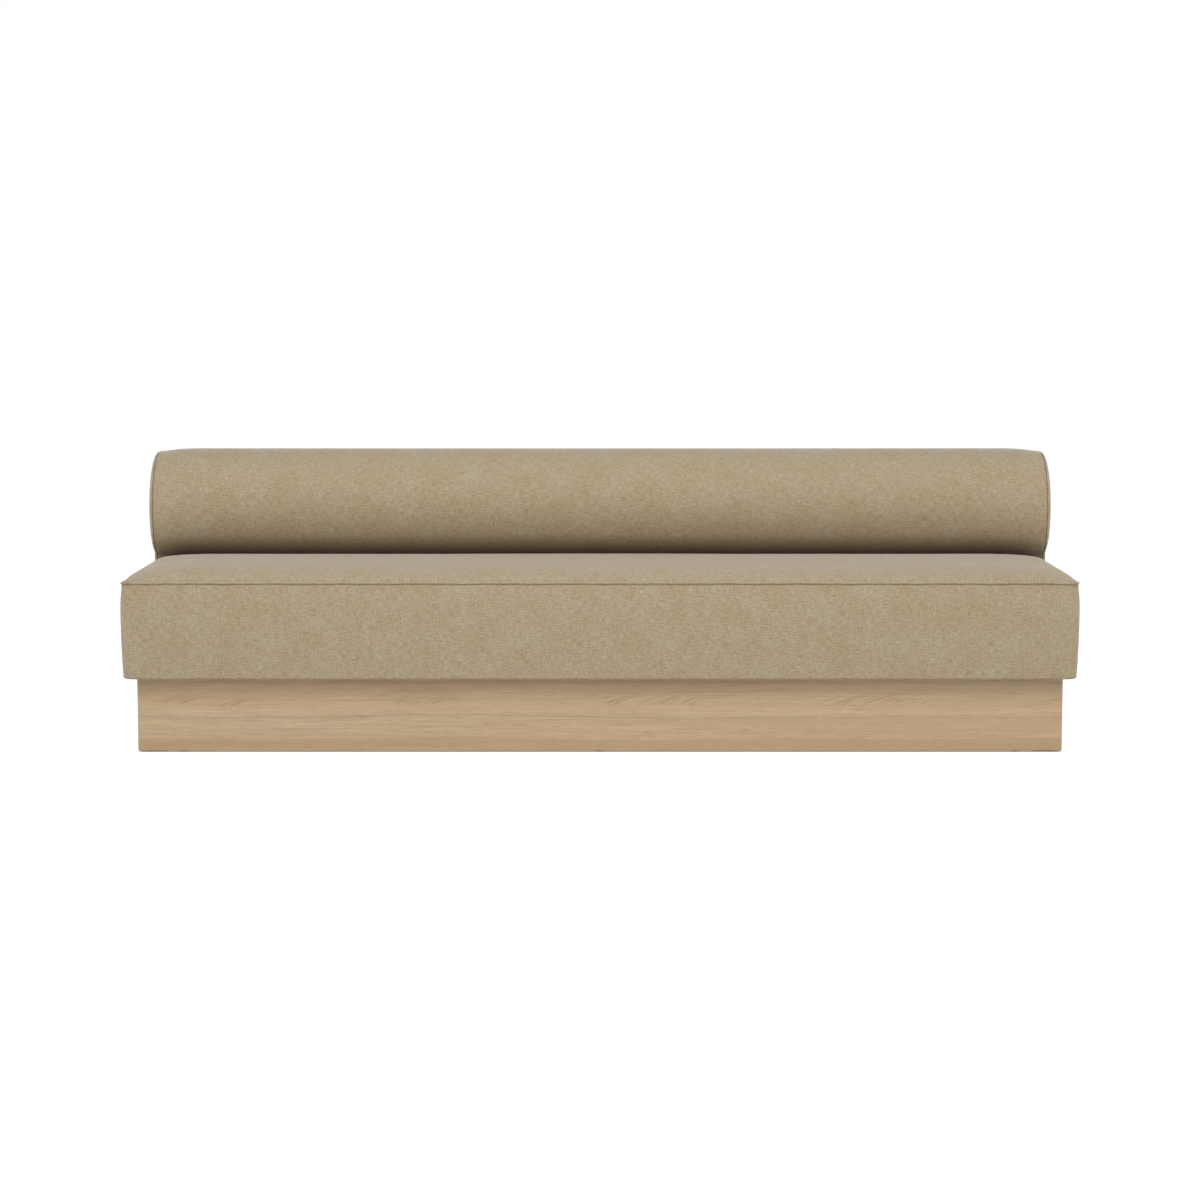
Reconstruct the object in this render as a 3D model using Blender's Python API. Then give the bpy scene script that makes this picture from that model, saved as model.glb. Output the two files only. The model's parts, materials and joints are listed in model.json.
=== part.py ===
"""Dining sofa: an upholstered seat unit and a roll-topped back unit, bolted together on an oak plinth.

Units are metres and +Z is up. The sofa faces -Y, and the origin lies on the floor under its middle.
"""

import math

import bmesh
import bpy
from mathutils import Vector

# Overall sizes
SOFA_WIDTH = 2.300  # over the seat's sides at their fullest
SEAT_DEPTH = 0.530  # seat unit, front face to rear face
SEAT_SIDE = 0.231  # seat unit, lower edge to top seam
BACK_THICKNESS = 0.150  # back unit below its roll
CONTACT_GAP = 0.0003  # air left between pieces that touch

# Seat shape
SEAT_CROWN = 0.030  # rise of the seat's top above its seam
CROWN_RUN = 0.030  # distance from the seam over which the crown does most of its rising
SEAT_CORNER = 0.025  # upright corners, in plan
CROWN_CORNER_SHARE = 0.8  # most that a contour's corners take of its half depth
SIDE_DRAW = 0.0035  # how far the seam and the lower edge are drawn in
FULLEST_DROP = 0.066  # the sides' fullest line below the seam
EDGE_RADIUS = 0.012  # rounding of the upholstery's lower edges

# Roll shape, about its foremost line
ROLL_RISE = 0.018  # roll's underside above the seat's seam
ROLL_REACH = 0.080  # how far the roll stands forward of the neck below it
ROLL_UPPER_HEIGHT = 0.148  # foremost line to the top
ROLL_UPPER_DEPTH = 0.148
ROLL_LOWER_HEIGHT = 0.1275  # underside to the foremost line
ROLL_TUCK = 0.025  # the underside's lowest line lies this far behind the neck's face
ROLL_REAR_HEIGHT = 0.085  # rounding from the top down to the flat rear
END_DOME = 0.012  # bulge of the back's end panels
END_DOME_RUN = 0.040  # margin over which the bulge rises

# Cloth and padding
COVER = 0.002  # upholstery cloth, and the dust covers underneath
HEM = 0.028  # width of cloth turned under the frames
HEM_CLEARANCE = 0.0005  # between a hem's edge and the dust cover
EDGE_PADDING = 0.015  # wadding on the outside of the seat frame
BASE_FOAM = 0.095  # firm foam on the webbing
NECK_PADDING = 0.018
END_PADDING = 0.015  # foam behind an end panel, up to its seam

# Seat frame
SEAT_RAIL = 0.025  # timber thickness
SEAT_RAIL_HEIGHT = 0.090
SEAT_CROSS_HEIGHT = 0.060
WEBBING = 0.002
WEBBING_WIDTH = 0.070
WEBBING_STRAPS = 13  # front to rear
WEBBING_LONG_STRAPS = 3  # from end to end, woven through the others

# Back frame
BACK_RAIL_HEIGHT = 0.060
BACK_POST = 0.040
FRONT_BOARD = 0.012
REAR_BOARD = 0.005
SPACER_HEIGHT = 0.080

# Plinth
PLINTH_OVERHANG = 0.035  # how far the upholstery stands out past the plinth
PLINTH_HEIGHT = 0.1765
PLINTH_PANEL = 0.020
PLINTH_ARRIS = 0.0015  # eased edges of the panels
STRETCHER = 0.018  # boards laid flat across the plinth's top
STRETCHER_WIDTH = 0.090
PLINTH_BLOCK = 0.050  # legs of the triangular corner blocks
GLIDE_HEIGHT = 0.003
GLIDE_MARGIN = 0.002  # from a glide's rim to the panel's faces
GLIDE_INSET = 0.110  # end glides in from the plinth's ends

# Fasteners
BOLT_RADIUS = 0.004
BOLT_CLEARANCE = 0.0005
BOLT_HEAD_RADIUS = 0.0065
BOLT_HEAD = 0.0055
BOLT_FLANGE_RADIUS = 0.011
BOLT_FLANGE = 0.002
BOLT_BITE = 0.040  # length in the back's bottom rail
SCREW_RADIUS = 0.0025
SCREW_HEAD_RADIUS = 0.005
SCREW_HEAD = 0.003
SCREW_BITE = 0.030  # length in the frames above the plinth
HOLE_OVERRUN = 0.002  # how far a hole runs past its fastener

# Facets
CORNER_STEPS = 5
EDGE_STEPS = 4
SIDE_STEPS = 3
ARC_STEPS = 12
ROUND_SIDES = 12
CROWN_STATIONS = (0.13, 0.33, 0.63, 1.05, 1.70, 2.80, 4.60)  # in crown runs from the seam
DOME_STATIONS = (0.07, 0.18, 0.36, 0.63, 1.00)  # in dome runs from the seam

# Places from front to rear
HALF_WIDTH = SOFA_WIDTH / 2
FRONT_Y = -(SEAT_DEPTH + CONTACT_GAP + BACK_THICKNESS) / 2
SEAT_REAR_Y = FRONT_Y + SEAT_DEPTH
SEAT_MID_Y = (FRONT_Y + SEAT_REAR_Y) / 2
BACK_Y = SEAT_REAR_Y + CONTACT_GAP
REAR_Y = BACK_Y + BACK_THICKNESS
SKIN = COVER + CONTACT_GAP  # from the cloth's outside to what it covers

# Heights
PLINTH_LOW = GLIDE_HEIGHT + CONTACT_GAP
PLINTH_TOP = PLINTH_LOW + PLINTH_HEIGHT
STRETCHER_LOW = PLINTH_TOP - STRETCHER
UPHOLSTERY_LOW = PLINTH_TOP + CONTACT_GAP
FRAME_LOW = UPHOLSTERY_LOW + SKIN
SEAT_FRAME_TOP = FRAME_LOW + SEAT_RAIL_HEIGHT
WEBBING_LOW = SEAT_FRAME_TOP + CONTACT_GAP
BASE_FOAM_LOW = WEBBING_LOW + WEBBING + CONTACT_GAP
BASE_FOAM_TOP = BASE_FOAM_LOW + BASE_FOAM
SEAM_Z = UPHOLSTERY_LOW + SEAT_SIDE
SIDE_FULLEST = SEAT_SIDE - FULLEST_DROP
ROLL_NOSE_Z = SEAM_Z + ROLL_RISE + ROLL_LOWER_HEIGHT
BACK_TOP = ROLL_NOSE_Z + ROLL_UPPER_HEIGHT
ROLL_REAR_Z = BACK_TOP - ROLL_REAR_HEIGHT
BACK_FRAME_TOP = ROLL_REAR_Z - CONTACT_GAP
BACK_RAIL_TOP = FRAME_LOW + BACK_RAIL_HEIGHT
SPACER_LOW = FRAME_LOW + EDGE_RADIUS
SPACER_TOP = SPACER_LOW + SPACER_HEIGHT
BOLT_Z = FRAME_LOW + BACK_RAIL_HEIGHT / 2

# Seat frame outline, inside its padding
SEAT_FRAME_X = HALF_WIDTH - SIDE_DRAW - SKIN - EDGE_PADDING - CONTACT_GAP
SEAT_FRAME_FRONT = FRONT_Y + SIDE_DRAW + SKIN + EDGE_PADDING + CONTACT_GAP
SEAT_FRAME_REAR = SEAT_REAR_Y - SIDE_DRAW - SKIN

# Layers of the back unit, front to rear, and its length between the ends
NECK_Y = BACK_Y + SKIN
FRONT_BOARD_Y = NECK_Y + NECK_PADDING + CONTACT_GAP
POST_FRONT = FRONT_BOARD_Y + FRONT_BOARD + CONTACT_GAP
REAR_BOARD_REAR = REAR_Y - SKIN
REAR_BOARD_Y = REAR_BOARD_REAR - REAR_BOARD
POST_REAR = REAR_BOARD_Y - CONTACT_GAP
BACK_SEAM_X = HALF_WIDTH - END_DOME - CONTACT_GAP
BACK_CORE_X = BACK_SEAM_X - END_PADDING - CONTACT_GAP

# Plinth outline
PLINTH_X = HALF_WIDTH - PLINTH_OVERHANG
PLINTH_FRONT = FRONT_Y + PLINTH_OVERHANG
PLINTH_REAR = REAR_Y - PLINTH_OVERHANG
PLINTH_INNER_X = PLINTH_X - PLINTH_PANEL
PLINTH_INNER_FRONT = PLINTH_FRONT + PLINTH_PANEL
PLINTH_INNER_REAR = PLINTH_REAR - PLINTH_PANEL

# Stations along the sofa: the seat's three cross rails make four equal bays, with a bolt in each
SIDES = {"left": -1, "right": 1}
CROSS_XS = {"left": -SEAT_FRAME_X / 2, "middle": 0.0, "right": SEAT_FRAME_X / 2}
BOLT_XS = {
    "outer_left": -0.75 * SEAT_FRAME_X,
    "inner_left": -0.25 * SEAT_FRAME_X,
    "inner_right": 0.25 * SEAT_FRAME_X,
    "outer_right": 0.75 * SEAT_FRAME_X,
}
GLIDE_XS = {"left": -PLINTH_X + GLIDE_INSET, "middle": 0.0, "right": PLINTH_X - GLIDE_INSET}
BACK_SCREW_Y = (POST_FRONT + PLINTH_INNER_REAR) / 2


def clear_scene():
    for item in list(bpy.data.objects):
        bpy.data.objects.remove(item)


def make_material(name, colour, roughness, metallic=0.0):
    made = bpy.data.materials.new(name)
    made.use_nodes = True
    shader = made.node_tree.nodes["Principled BSDF"]
    shader.inputs["Base Color"].default_value = (*colour, 1.0)
    shader.inputs["Roughness"].default_value = roughness
    shader.inputs["Metallic"].default_value = metallic
    return made


def make_group(name, location):
    """An empty that carries one unit of the sofa."""
    group = bpy.data.objects.new(name, None)
    group.location = location
    bpy.context.scene.collection.objects.link(group)
    return group


def add_piece(name, shape, material, group, smooth=False):
    """Turns a bmesh in world places into an object whose origin is the middle of its box."""
    bmesh.ops.recalc_face_normals(shape, faces=shape.faces[:])
    places = [vertex.co for vertex in shape.verts]
    low = Vector([min(place[axis] for place in places) for axis in range(3)])
    high = Vector([max(place[axis] for place in places) for axis in range(3)])
    middle = (low + high) / 2
    bmesh.ops.translate(shape, verts=shape.verts[:], vec=-middle)
    mesh = bpy.data.meshes.new(name)
    shape.to_mesh(mesh)
    shape.free()
    if smooth:
        mesh.shade_smooth()
        mesh.set_sharp_from_angle(angle=math.radians(40))
    if material:
        mesh.materials.append(material)
    piece = bpy.data.objects.new(name, mesh)
    bpy.context.scene.collection.objects.link(piece)
    piece.parent = group
    piece.location = middle - group.location
    return piece


def add_cutter(name, shape, group):
    cutter = add_piece(name, shape, None, group)
    cutter.hide_render = True
    cutter.display_type = "WIRE"
    return cutter


def cut_holes(piece, cutter):
    cut = piece.modifiers.new(cutter.name, "BOOLEAN")
    cut.operation = "DIFFERENCE"
    cut.object = cutter


def add_box(name, low, high, material, group):
    shape = bmesh.new()
    bmesh.ops.create_cube(shape, size=1.0)
    bmesh.ops.scale(shape, verts=shape.verts[:], vec=Vector(high) - Vector(low))
    bmesh.ops.translate(shape, verts=shape.verts[:], vec=(Vector(low) + Vector(high)) / 2)
    return add_piece(name, shape, material, group)


def loft_into(shape, rings, closed=False):
    """Skins rings that have equal counts of points, as a capped body or as a closed band."""
    loops = [[shape.verts.new(point) for point in ring] for ring in rings]
    pairs = list(zip(loops, loops[1:]))
    if closed:
        pairs.append((loops[-1], loops[0]))
    else:
        shape.faces.new(loops[0])
        shape.faces.new(loops[-1])
    for one, other in pairs:
        for place in range(len(one)):
            following = (place + 1) % len(one)
            shape.faces.new((one[place], one[following], other[following], other[place]))


def loft(rings, closed=False):
    shape = bmesh.new()
    loft_into(shape, rings, closed)
    return shape


def turn_into(shape, centre, axis, profile):
    """A turned body from pairs of radius and distance along its axis, +Y or +Z."""
    axis = Vector(axis)
    across = Vector((1, 0, 0))
    up = axis.cross(across)
    turns = [2 * math.pi * side / ROUND_SIDES for side in range(ROUND_SIDES)]
    spokes = [across * math.cos(turn) + up * math.sin(turn) for turn in turns]
    start = Vector(centre)
    loft_into(shape, [[start + axis * along + spoke * radius for spoke in spokes] for radius, along in profile])


def turned(centre, axis, profile):
    shape = bmesh.new()
    turn_into(shape, centre, axis, profile)
    return shape


def plan_rings(outline, low, high):
    return [[(x, y, z) for x, y in outline] for z in (low, high)]


def section_ring(outline, x):
    return [(x, y, z) for y, z in outline]


def eased_section(front, rear, low, high):
    """A rail in section, with its lower rear edge taken off so that the cloth can turn under it."""
    eased = [(rear - EDGE_RADIUS, low), (rear, low + EDGE_RADIUS)]
    return [(front, low), *eased, (rear, high), (front, high)]


def even_steps(low, high, count):
    return [low + (high - low) * step / count for step in range(count + 1)]


def seat_ring(inset, z, radius=SEAT_CORNER):
    """The seat's outline in plan, drawn in by inset, with its corners rounded."""
    reach_x = HALF_WIDTH - inset - radius
    reach_y = SEAT_DEPTH / 2 - inset - radius
    points = []
    for quarter, (side_x, side_y) in enumerate(((1, 1), (-1, 1), (-1, -1), (1, -1))):
        for step in range(CORNER_STEPS + 1):
            turn = math.pi / 2 * (quarter + step / CORNER_STEPS)
            x = side_x * reach_x + radius * math.cos(turn)
            y = SEAT_MID_Y + side_y * reach_y + radius * math.sin(turn)
            points.append((x, y, z))
    return points


def side_draw(height):
    """How far the seat's side stands in from its fullest line, at a height above its lower edge."""
    span = SIDE_FULLEST if height < SIDE_FULLEST else FULLEST_DROP
    return SIDE_DRAW * ((height - SIDE_FULLEST) / span) ** 2


def crown_rise(inset):
    """How far the seat's top stands above its seam, at a distance in from it."""
    return SEAT_CROWN * (1 - math.exp(-inset / CROWN_RUN))


def crown_rings(skin):
    """Rings of the crowned top from the seam to the flat middle, lower than the cloth's outside by skin."""
    rings = []
    for inset in [station * CROWN_RUN for station in CROWN_STATIONS]:
        half_depth = SEAT_DEPTH / 2 - SIDE_DRAW - inset
        radius = min(SEAT_CORNER + inset, CROWN_CORNER_SHARE * half_depth)
        if crown_rise(inset) > skin and inset > skin:
            rings.append(seat_ring(SIDE_DRAW + inset, SEAM_Z + crown_rise(inset) - skin, radius))
    return rings


def side_stations(low, high):
    """Heights above the lower edge at which a stretch of the seat's side has its facets."""
    stations = even_steps(EDGE_RADIUS, SIDE_FULLEST, SIDE_STEPS)
    stations += even_steps(SIDE_FULLEST, SEAT_SIDE, SIDE_STEPS)[1:]
    return [low, *[station for station in stations if low < station < high], high]


def side_rings(low, high):
    """Rings up the seat's side, just inside its cloth, between two heights above the floor."""
    heights = side_stations(low - UPHOLSTERY_LOW, high - UPHOLSTERY_LOW)
    return [seat_ring(side_draw(height) + SKIN, UPHOLSTERY_LOW + height) for height in heights]


def edge_arc(centre, radius, start):
    """A quarter of a circle as pairs of across and up, turning clockwise from start."""
    turns = even_steps(start, start - math.pi / 2, EDGE_STEPS)
    return [(centre[0] + radius * math.cos(turn), centre[1] + radius * math.sin(turn)) for turn in turns]


def border_section(skin):
    """The seat's side cloth as pairs of inset and height, from its hem up to the seam."""
    foot = side_draw(EDGE_RADIUS)
    arc = edge_arc((foot + EDGE_RADIUS, EDGE_RADIUS), EDGE_RADIUS - skin, -math.pi / 2)
    heights = side_stations(EDGE_RADIUS, SEAT_SIDE)[1:]
    return [(HEM, skin), *arc, *[(side_draw(height) + skin, height) for height in heights]]


def roll_arc(inset):
    """The roll in section as pairs of y and z, from its tuck over the nose and the top to the flat rear."""
    nose_y = BACK_Y - ROLL_REACH
    lower_depth = ROLL_REACH + ROLL_TUCK
    top_y = nose_y + ROLL_UPPER_DEPTH
    tuck_turn = math.acos((ROLL_TUCK - inset) / (lower_depth - inset))
    points = []
    for turn in even_steps(tuck_turn, 0.0, ARC_STEPS):
        y = nose_y + lower_depth - (lower_depth - inset) * math.cos(turn)
        points.append((y, ROLL_NOSE_Z - (ROLL_LOWER_HEIGHT - inset) * math.sin(turn)))
    for turn in even_steps(0.0, math.pi / 2, ARC_STEPS)[1:]:
        y = top_y - (ROLL_UPPER_DEPTH - inset) * math.cos(turn)
        points.append((y, ROLL_NOSE_Z + (ROLL_UPPER_HEIGHT - inset) * math.sin(turn)))
    for turn in even_steps(0.0, math.pi / 2, ARC_STEPS)[1:]:
        y = top_y + (REAR_Y - inset - top_y) * math.sin(turn)
        points.append((y, ROLL_REAR_Z + (ROLL_REAR_HEIGHT - inset) * math.cos(turn)))
    return points


def back_outline(inset):
    """The back unit in section as pairs of y and z, from its front lower edge up and over to its rear one."""
    centre_z = UPHOLSTERY_LOW + inset + EDGE_RADIUS
    front_arc = edge_arc((BACK_Y + inset + EDGE_RADIUS, centre_z), EDGE_RADIUS, -math.pi / 2)
    rear_arc = edge_arc((REAR_Y - inset - EDGE_RADIUS, centre_z), EDGE_RADIUS, 0.0)
    return front_arc + roll_arc(inset) + rear_arc


def end_dome(inset):
    """Bulge of the back's end panel at a distance in from its seam."""
    share = 1 - inset / END_DOME_RUN
    return END_DOME * math.sqrt(1 - share**2)


def make_plinth(group, oak, timber, nylon):
    """Four mitred panels with corner blocks and flat stretchers inside, on glides. Returns the stretchers."""
    add_panels(group, oak)
    reach_x = PLINTH_INNER_X - CONTACT_GAP
    ends = {"front": (PLINTH_INNER_FRONT + CONTACT_GAP, 1), "rear": (PLINTH_INNER_REAR - CONTACT_GAP, -1)}
    for end, (y, inward) in ends.items():
        for side, sign in SIDES.items():
            outline = [
                (sign * reach_x, y),
                (sign * (reach_x - PLINTH_BLOCK), y),
                (sign * reach_x, y + inward * PLINTH_BLOCK),
            ]
            shape = loft(plan_rings(outline, PLINTH_LOW, PLINTH_TOP))
            add_piece(f"plinth_{end}_{side}_block", shape, timber, group)
    stretchers = []
    for side, x in CROSS_XS.items():
        low = (x - STRETCHER_WIDTH / 2, ends["front"][0], STRETCHER_LOW)
        high = (x + STRETCHER_WIDTH / 2, ends["rear"][0], PLINTH_TOP)
        stretchers.append(add_box(f"plinth_stretcher_{side}", low, high, timber, group))
    radius = PLINTH_PANEL / 2 - GLIDE_MARGIN
    rows = {"front": PLINTH_FRONT + PLINTH_PANEL / 2, "rear": PLINTH_REAR - PLINTH_PANEL / 2}
    for end, y in rows.items():
        for side, x in GLIDE_XS.items():
            shape = turned((x, y, 0.0), (0, 0, 1), [(radius, 0.0), (radius, GLIDE_HEIGHT)])
            add_piece(f"{end}_{side}_glide", shape, nylon, group, smooth=True)
    return stretchers


def add_panels(group, oak):
    """The plinth's four panels, mitred at the corners."""
    slack = CONTACT_GAP / math.sqrt(2)
    for name, outer, inner in (
        ("plinth_front_panel", PLINTH_FRONT, PLINTH_INNER_FRONT),
        ("plinth_rear_panel", PLINTH_REAR, PLINTH_INNER_REAR),
    ):
        outline = [
            (-PLINTH_X + slack, outer),
            (PLINTH_X - slack, outer),
            (PLINTH_INNER_X - slack, inner),
            (-PLINTH_INNER_X + slack, inner),
        ]
        add_panel(name, outline, group, oak)
    for side, sign in SIDES.items():
        outline = [
            (sign * PLINTH_X, PLINTH_FRONT + slack),
            (sign * PLINTH_X, PLINTH_REAR - slack),
            (sign * PLINTH_INNER_X, PLINTH_INNER_REAR - slack),
            (sign * PLINTH_INNER_X, PLINTH_INNER_FRONT + slack),
        ]
        add_panel(f"plinth_{side}_panel", outline, group, oak)


def add_panel(name, outline, group, oak):
    panel = add_piece(name, loft(plan_rings(outline, PLINTH_LOW, PLINTH_TOP)), oak, group)
    easing = panel.modifiers.new("eased edges", "BEVEL")
    easing.width = PLINTH_ARRIS
    easing.segments = 2


def make_seat_frame(group, timber, webbing):
    """Rails, cross rails and woven webbing. Returns the rear rail and the cross rails."""
    front_inner = SEAT_FRAME_FRONT + SEAT_RAIL
    rear_inner = SEAT_FRAME_REAR - SEAT_RAIL
    low, high = (-SEAT_FRAME_X, SEAT_FRAME_FRONT, FRAME_LOW), (SEAT_FRAME_X, front_inner, SEAT_FRAME_TOP)
    add_box("seat_front_rail", low, high, timber, group)
    rear_rail_x = HALF_WIDTH - SIDE_DRAW - SKIN - SEAT_CORNER
    section = eased_section(rear_inner, SEAT_FRAME_REAR, FRAME_LOW, SEAT_FRAME_TOP)
    shape = loft([section_ring(section, x) for x in (-rear_rail_x, rear_rail_x)])
    rear_rail = add_piece("seat_rear_rail", shape, timber, group)
    near_y, far_y = front_inner + CONTACT_GAP, rear_inner - CONTACT_GAP
    for side, sign in SIDES.items():
        near_x, far_x = sorted((sign * (SEAT_FRAME_X - SEAT_RAIL), sign * SEAT_FRAME_X))
        low, high = (near_x, near_y, FRAME_LOW), (far_x, far_y, SEAT_FRAME_TOP)
        add_box(f"seat_{side}_rail", low, high, timber, group)
    cross_rails = []
    for side, x in CROSS_XS.items():
        low = (x - SEAT_RAIL / 2, near_y, FRAME_LOW)
        high = (x + SEAT_RAIL / 2, far_y, FRAME_LOW + SEAT_CROSS_HEIGHT)
        cross_rails.append(add_box(f"seat_cross_rail_{side}", low, high, timber, group))
    add_piece("seat_webbing", webbing_mat(), webbing, group)
    return rear_rail, cross_rails


def strap_spans(low, high, count):
    """Where evenly spread straps lie between two ends, as pairs of edges."""
    pitch = (high - low) / count
    middles = [low + pitch * (place + 0.5) for place in range(count)]
    return [(middle - WEBBING_WIDTH / 2, middle + WEBBING_WIDTH / 2) for middle in middles]


def webbing_mat():
    """Straps both ways, woven into one mat on top of the frame."""
    x_spans = strap_spans(-SEAT_FRAME_X, SEAT_FRAME_X, WEBBING_STRAPS)
    y_spans = strap_spans(SEAT_FRAME_FRONT, SEAT_FRAME_REAR, WEBBING_LONG_STRAPS)
    xs = [-SEAT_FRAME_X, *[edge for span in x_spans for edge in span], SEAT_FRAME_X]
    ys = [SEAT_FRAME_FRONT, *[edge for span in y_spans for edge in span], SEAT_FRAME_REAR]
    shape = bmesh.new()
    grid = [[shape.verts.new((x, y, WEBBING_LOW)) for y in ys] for x in xs]
    for column in range(len(xs) - 1):
        for row in range(len(ys) - 1):
            if column % 2 or row % 2:
                corners = ((0, 0), (1, 0), (1, 1), (0, 1))
                shape.faces.new([grid[column + right][row + up] for right, up in corners])
    bmesh.ops.delete(shape, geom=[vert for vert in shape.verts if not vert.link_faces], context="VERTS")
    made = bmesh.ops.extrude_face_region(shape, geom=shape.faces[:])["geom"]
    raised = [item for item in made if isinstance(item, bmesh.types.BMVert)]
    bmesh.ops.translate(shape, verts=raised, vec=(0, 0, WEBBING))
    return shape


def make_seat_padding(group, wadding, foam):
    """Wadding outside the frame, a firm base and a crowned comfort layer."""
    low_z, high_z = UPHOLSTERY_LOW + EDGE_RADIUS, BASE_FOAM_LOW - CONTACT_GAP
    outer_x, outer_front = HALF_WIDTH - SIDE_DRAW - SKIN, FRONT_Y + SIDE_DRAW + SKIN
    front_x = outer_x - SEAT_CORNER
    low, high = (-front_x, outer_front, low_z), (front_x, outer_front + EDGE_PADDING, high_z)
    add_box("seat_front_padding", low, high, wadding, group)
    near_y, far_y = outer_front + SEAT_CORNER, SEAT_FRAME_REAR - SEAT_CORNER
    for side, sign in SIDES.items():
        near_x, far_x = sorted((sign * outer_x, sign * (outer_x - EDGE_PADDING)))
        add_box(f"seat_{side}_padding", (near_x, near_y, low_z), (far_x, far_y, high_z), wadding, group)
    shape = loft(side_rings(BASE_FOAM_LOW, BASE_FOAM_TOP))
    add_piece("seat_base_foam", shape, foam, group, smooth=True)
    shape = loft(side_rings(BASE_FOAM_TOP + CONTACT_GAP, SEAM_Z) + crown_rings(SKIN))
    add_piece("seat_comfort_foam", shape, foam, group, smooth=True)


def make_seat_cover(group, cloth, dust_cloth):
    """The crowned top panel, the side border with its hem, and the dust cover. Returns the last two."""
    rim = SEAM_Z + CONTACT_GAP
    outside = [seat_ring(SIDE_DRAW, rim)] + crown_rings(0.0)
    inside = [seat_ring(SIDE_DRAW + COVER, rim)] + crown_rings(COVER)
    add_piece("seat_cover_top", loft(outside[::-1] + inside), cloth, group, smooth=True)
    section = border_section(0.0) + border_section(COVER)[::-1]
    rings = [seat_ring(inset, UPHOLSTERY_LOW + height) for inset, height in section]
    border = add_piece("seat_cover_border", loft(rings, closed=True), cloth, group, smooth=True)
    shape = loft([seat_ring(HEM + HEM_CLEARANCE, UPHOLSTERY_LOW + height) for height in (0.0, COVER)])
    return border, add_piece("seat_dust_cover", shape, dust_cloth, group)


def make_back_frame(group, timber, ply):
    """Rails, posts, boards, and the spacer that meets the seat. Returns the pieces that are bolted."""
    top_rail_low = BACK_FRAME_TOP - BACK_RAIL_HEIGHT
    section = eased_section(POST_FRONT, POST_REAR, FRAME_LOW, BACK_RAIL_TOP)
    shape = loft([section_ring(section, x) for x in (-BACK_CORE_X, BACK_CORE_X)])
    bottom_rail = add_piece("back_bottom_rail", shape, timber, group)
    low, high = (-BACK_CORE_X, POST_FRONT, top_rail_low), (BACK_CORE_X, POST_REAR, BACK_FRAME_TOP)
    add_box("back_top_rail", low, high, timber, group)
    end_x = BACK_CORE_X - BACK_POST / 2
    for side, x in {"left": -end_x, "middle": 0.0, "right": end_x}.items():
        low = (x - BACK_POST / 2, POST_FRONT, BACK_RAIL_TOP + CONTACT_GAP)
        high = (x + BACK_POST / 2, POST_REAR, top_rail_low - CONTACT_GAP)
        add_box(f"back_{side}_post", low, high, timber, group)
    low = (-BACK_CORE_X, FRONT_BOARD_Y, FRAME_LOW)
    high = (BACK_CORE_X, FRONT_BOARD_Y + FRONT_BOARD, BACK_FRAME_TOP)
    front_board = add_box("back_front_board", low, high, ply, group)
    low, high = (-BACK_CORE_X, REAR_BOARD_Y, SPACER_LOW), (BACK_CORE_X, REAR_BOARD_REAR, BACK_FRAME_TOP)
    add_box("back_rear_board", low, high, ply, group)
    low, high = (-BACK_CORE_X, NECK_Y, SPACER_LOW), (BACK_CORE_X, NECK_Y + NECK_PADDING, SPACER_TOP)
    spacer = add_box("back_spacer_rail", low, high, timber, group)
    return bottom_rail, front_board, spacer


def make_back_padding(group, foam):
    """The roll's foam over the frame, the neck's padding, and the pads behind the end panels."""
    roll = roll_arc(SKIN)
    tuck_z = roll[0][1]
    rest_y = FRONT_BOARD_Y - CONTACT_GAP
    section = roll + [(rest_y, ROLL_REAR_Z), (rest_y, tuck_z)]
    shape = loft([section_ring(section, x) for x in (-BACK_CORE_X, BACK_CORE_X)])
    add_piece("back_roll_foam", shape, foam, group, smooth=True)
    low = (-BACK_CORE_X, NECK_Y, SPACER_TOP + CONTACT_GAP)
    high = (BACK_CORE_X, NECK_Y + NECK_PADDING, tuck_z - CONTACT_GAP)
    add_box("back_neck_padding", low, high, foam, group)
    insets = [station * END_DOME_RUN for station in DOME_STATIONS]
    for side, sign in SIDES.items():
        inner_x = BACK_CORE_X + CONTACT_GAP
        rings = [section_ring(back_outline(SKIN), sign * x) for x in (inner_x, BACK_SEAM_X)]
        for inset in insets:
            if end_dome(inset) > SKIN and inset > SKIN:
                x = BACK_SEAM_X + end_dome(inset) - SKIN
                rings.append(section_ring(back_outline(inset), sign * x))
        add_piece(f"back_{side}_end_pad", loft(rings), foam, group, smooth=True)


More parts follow.
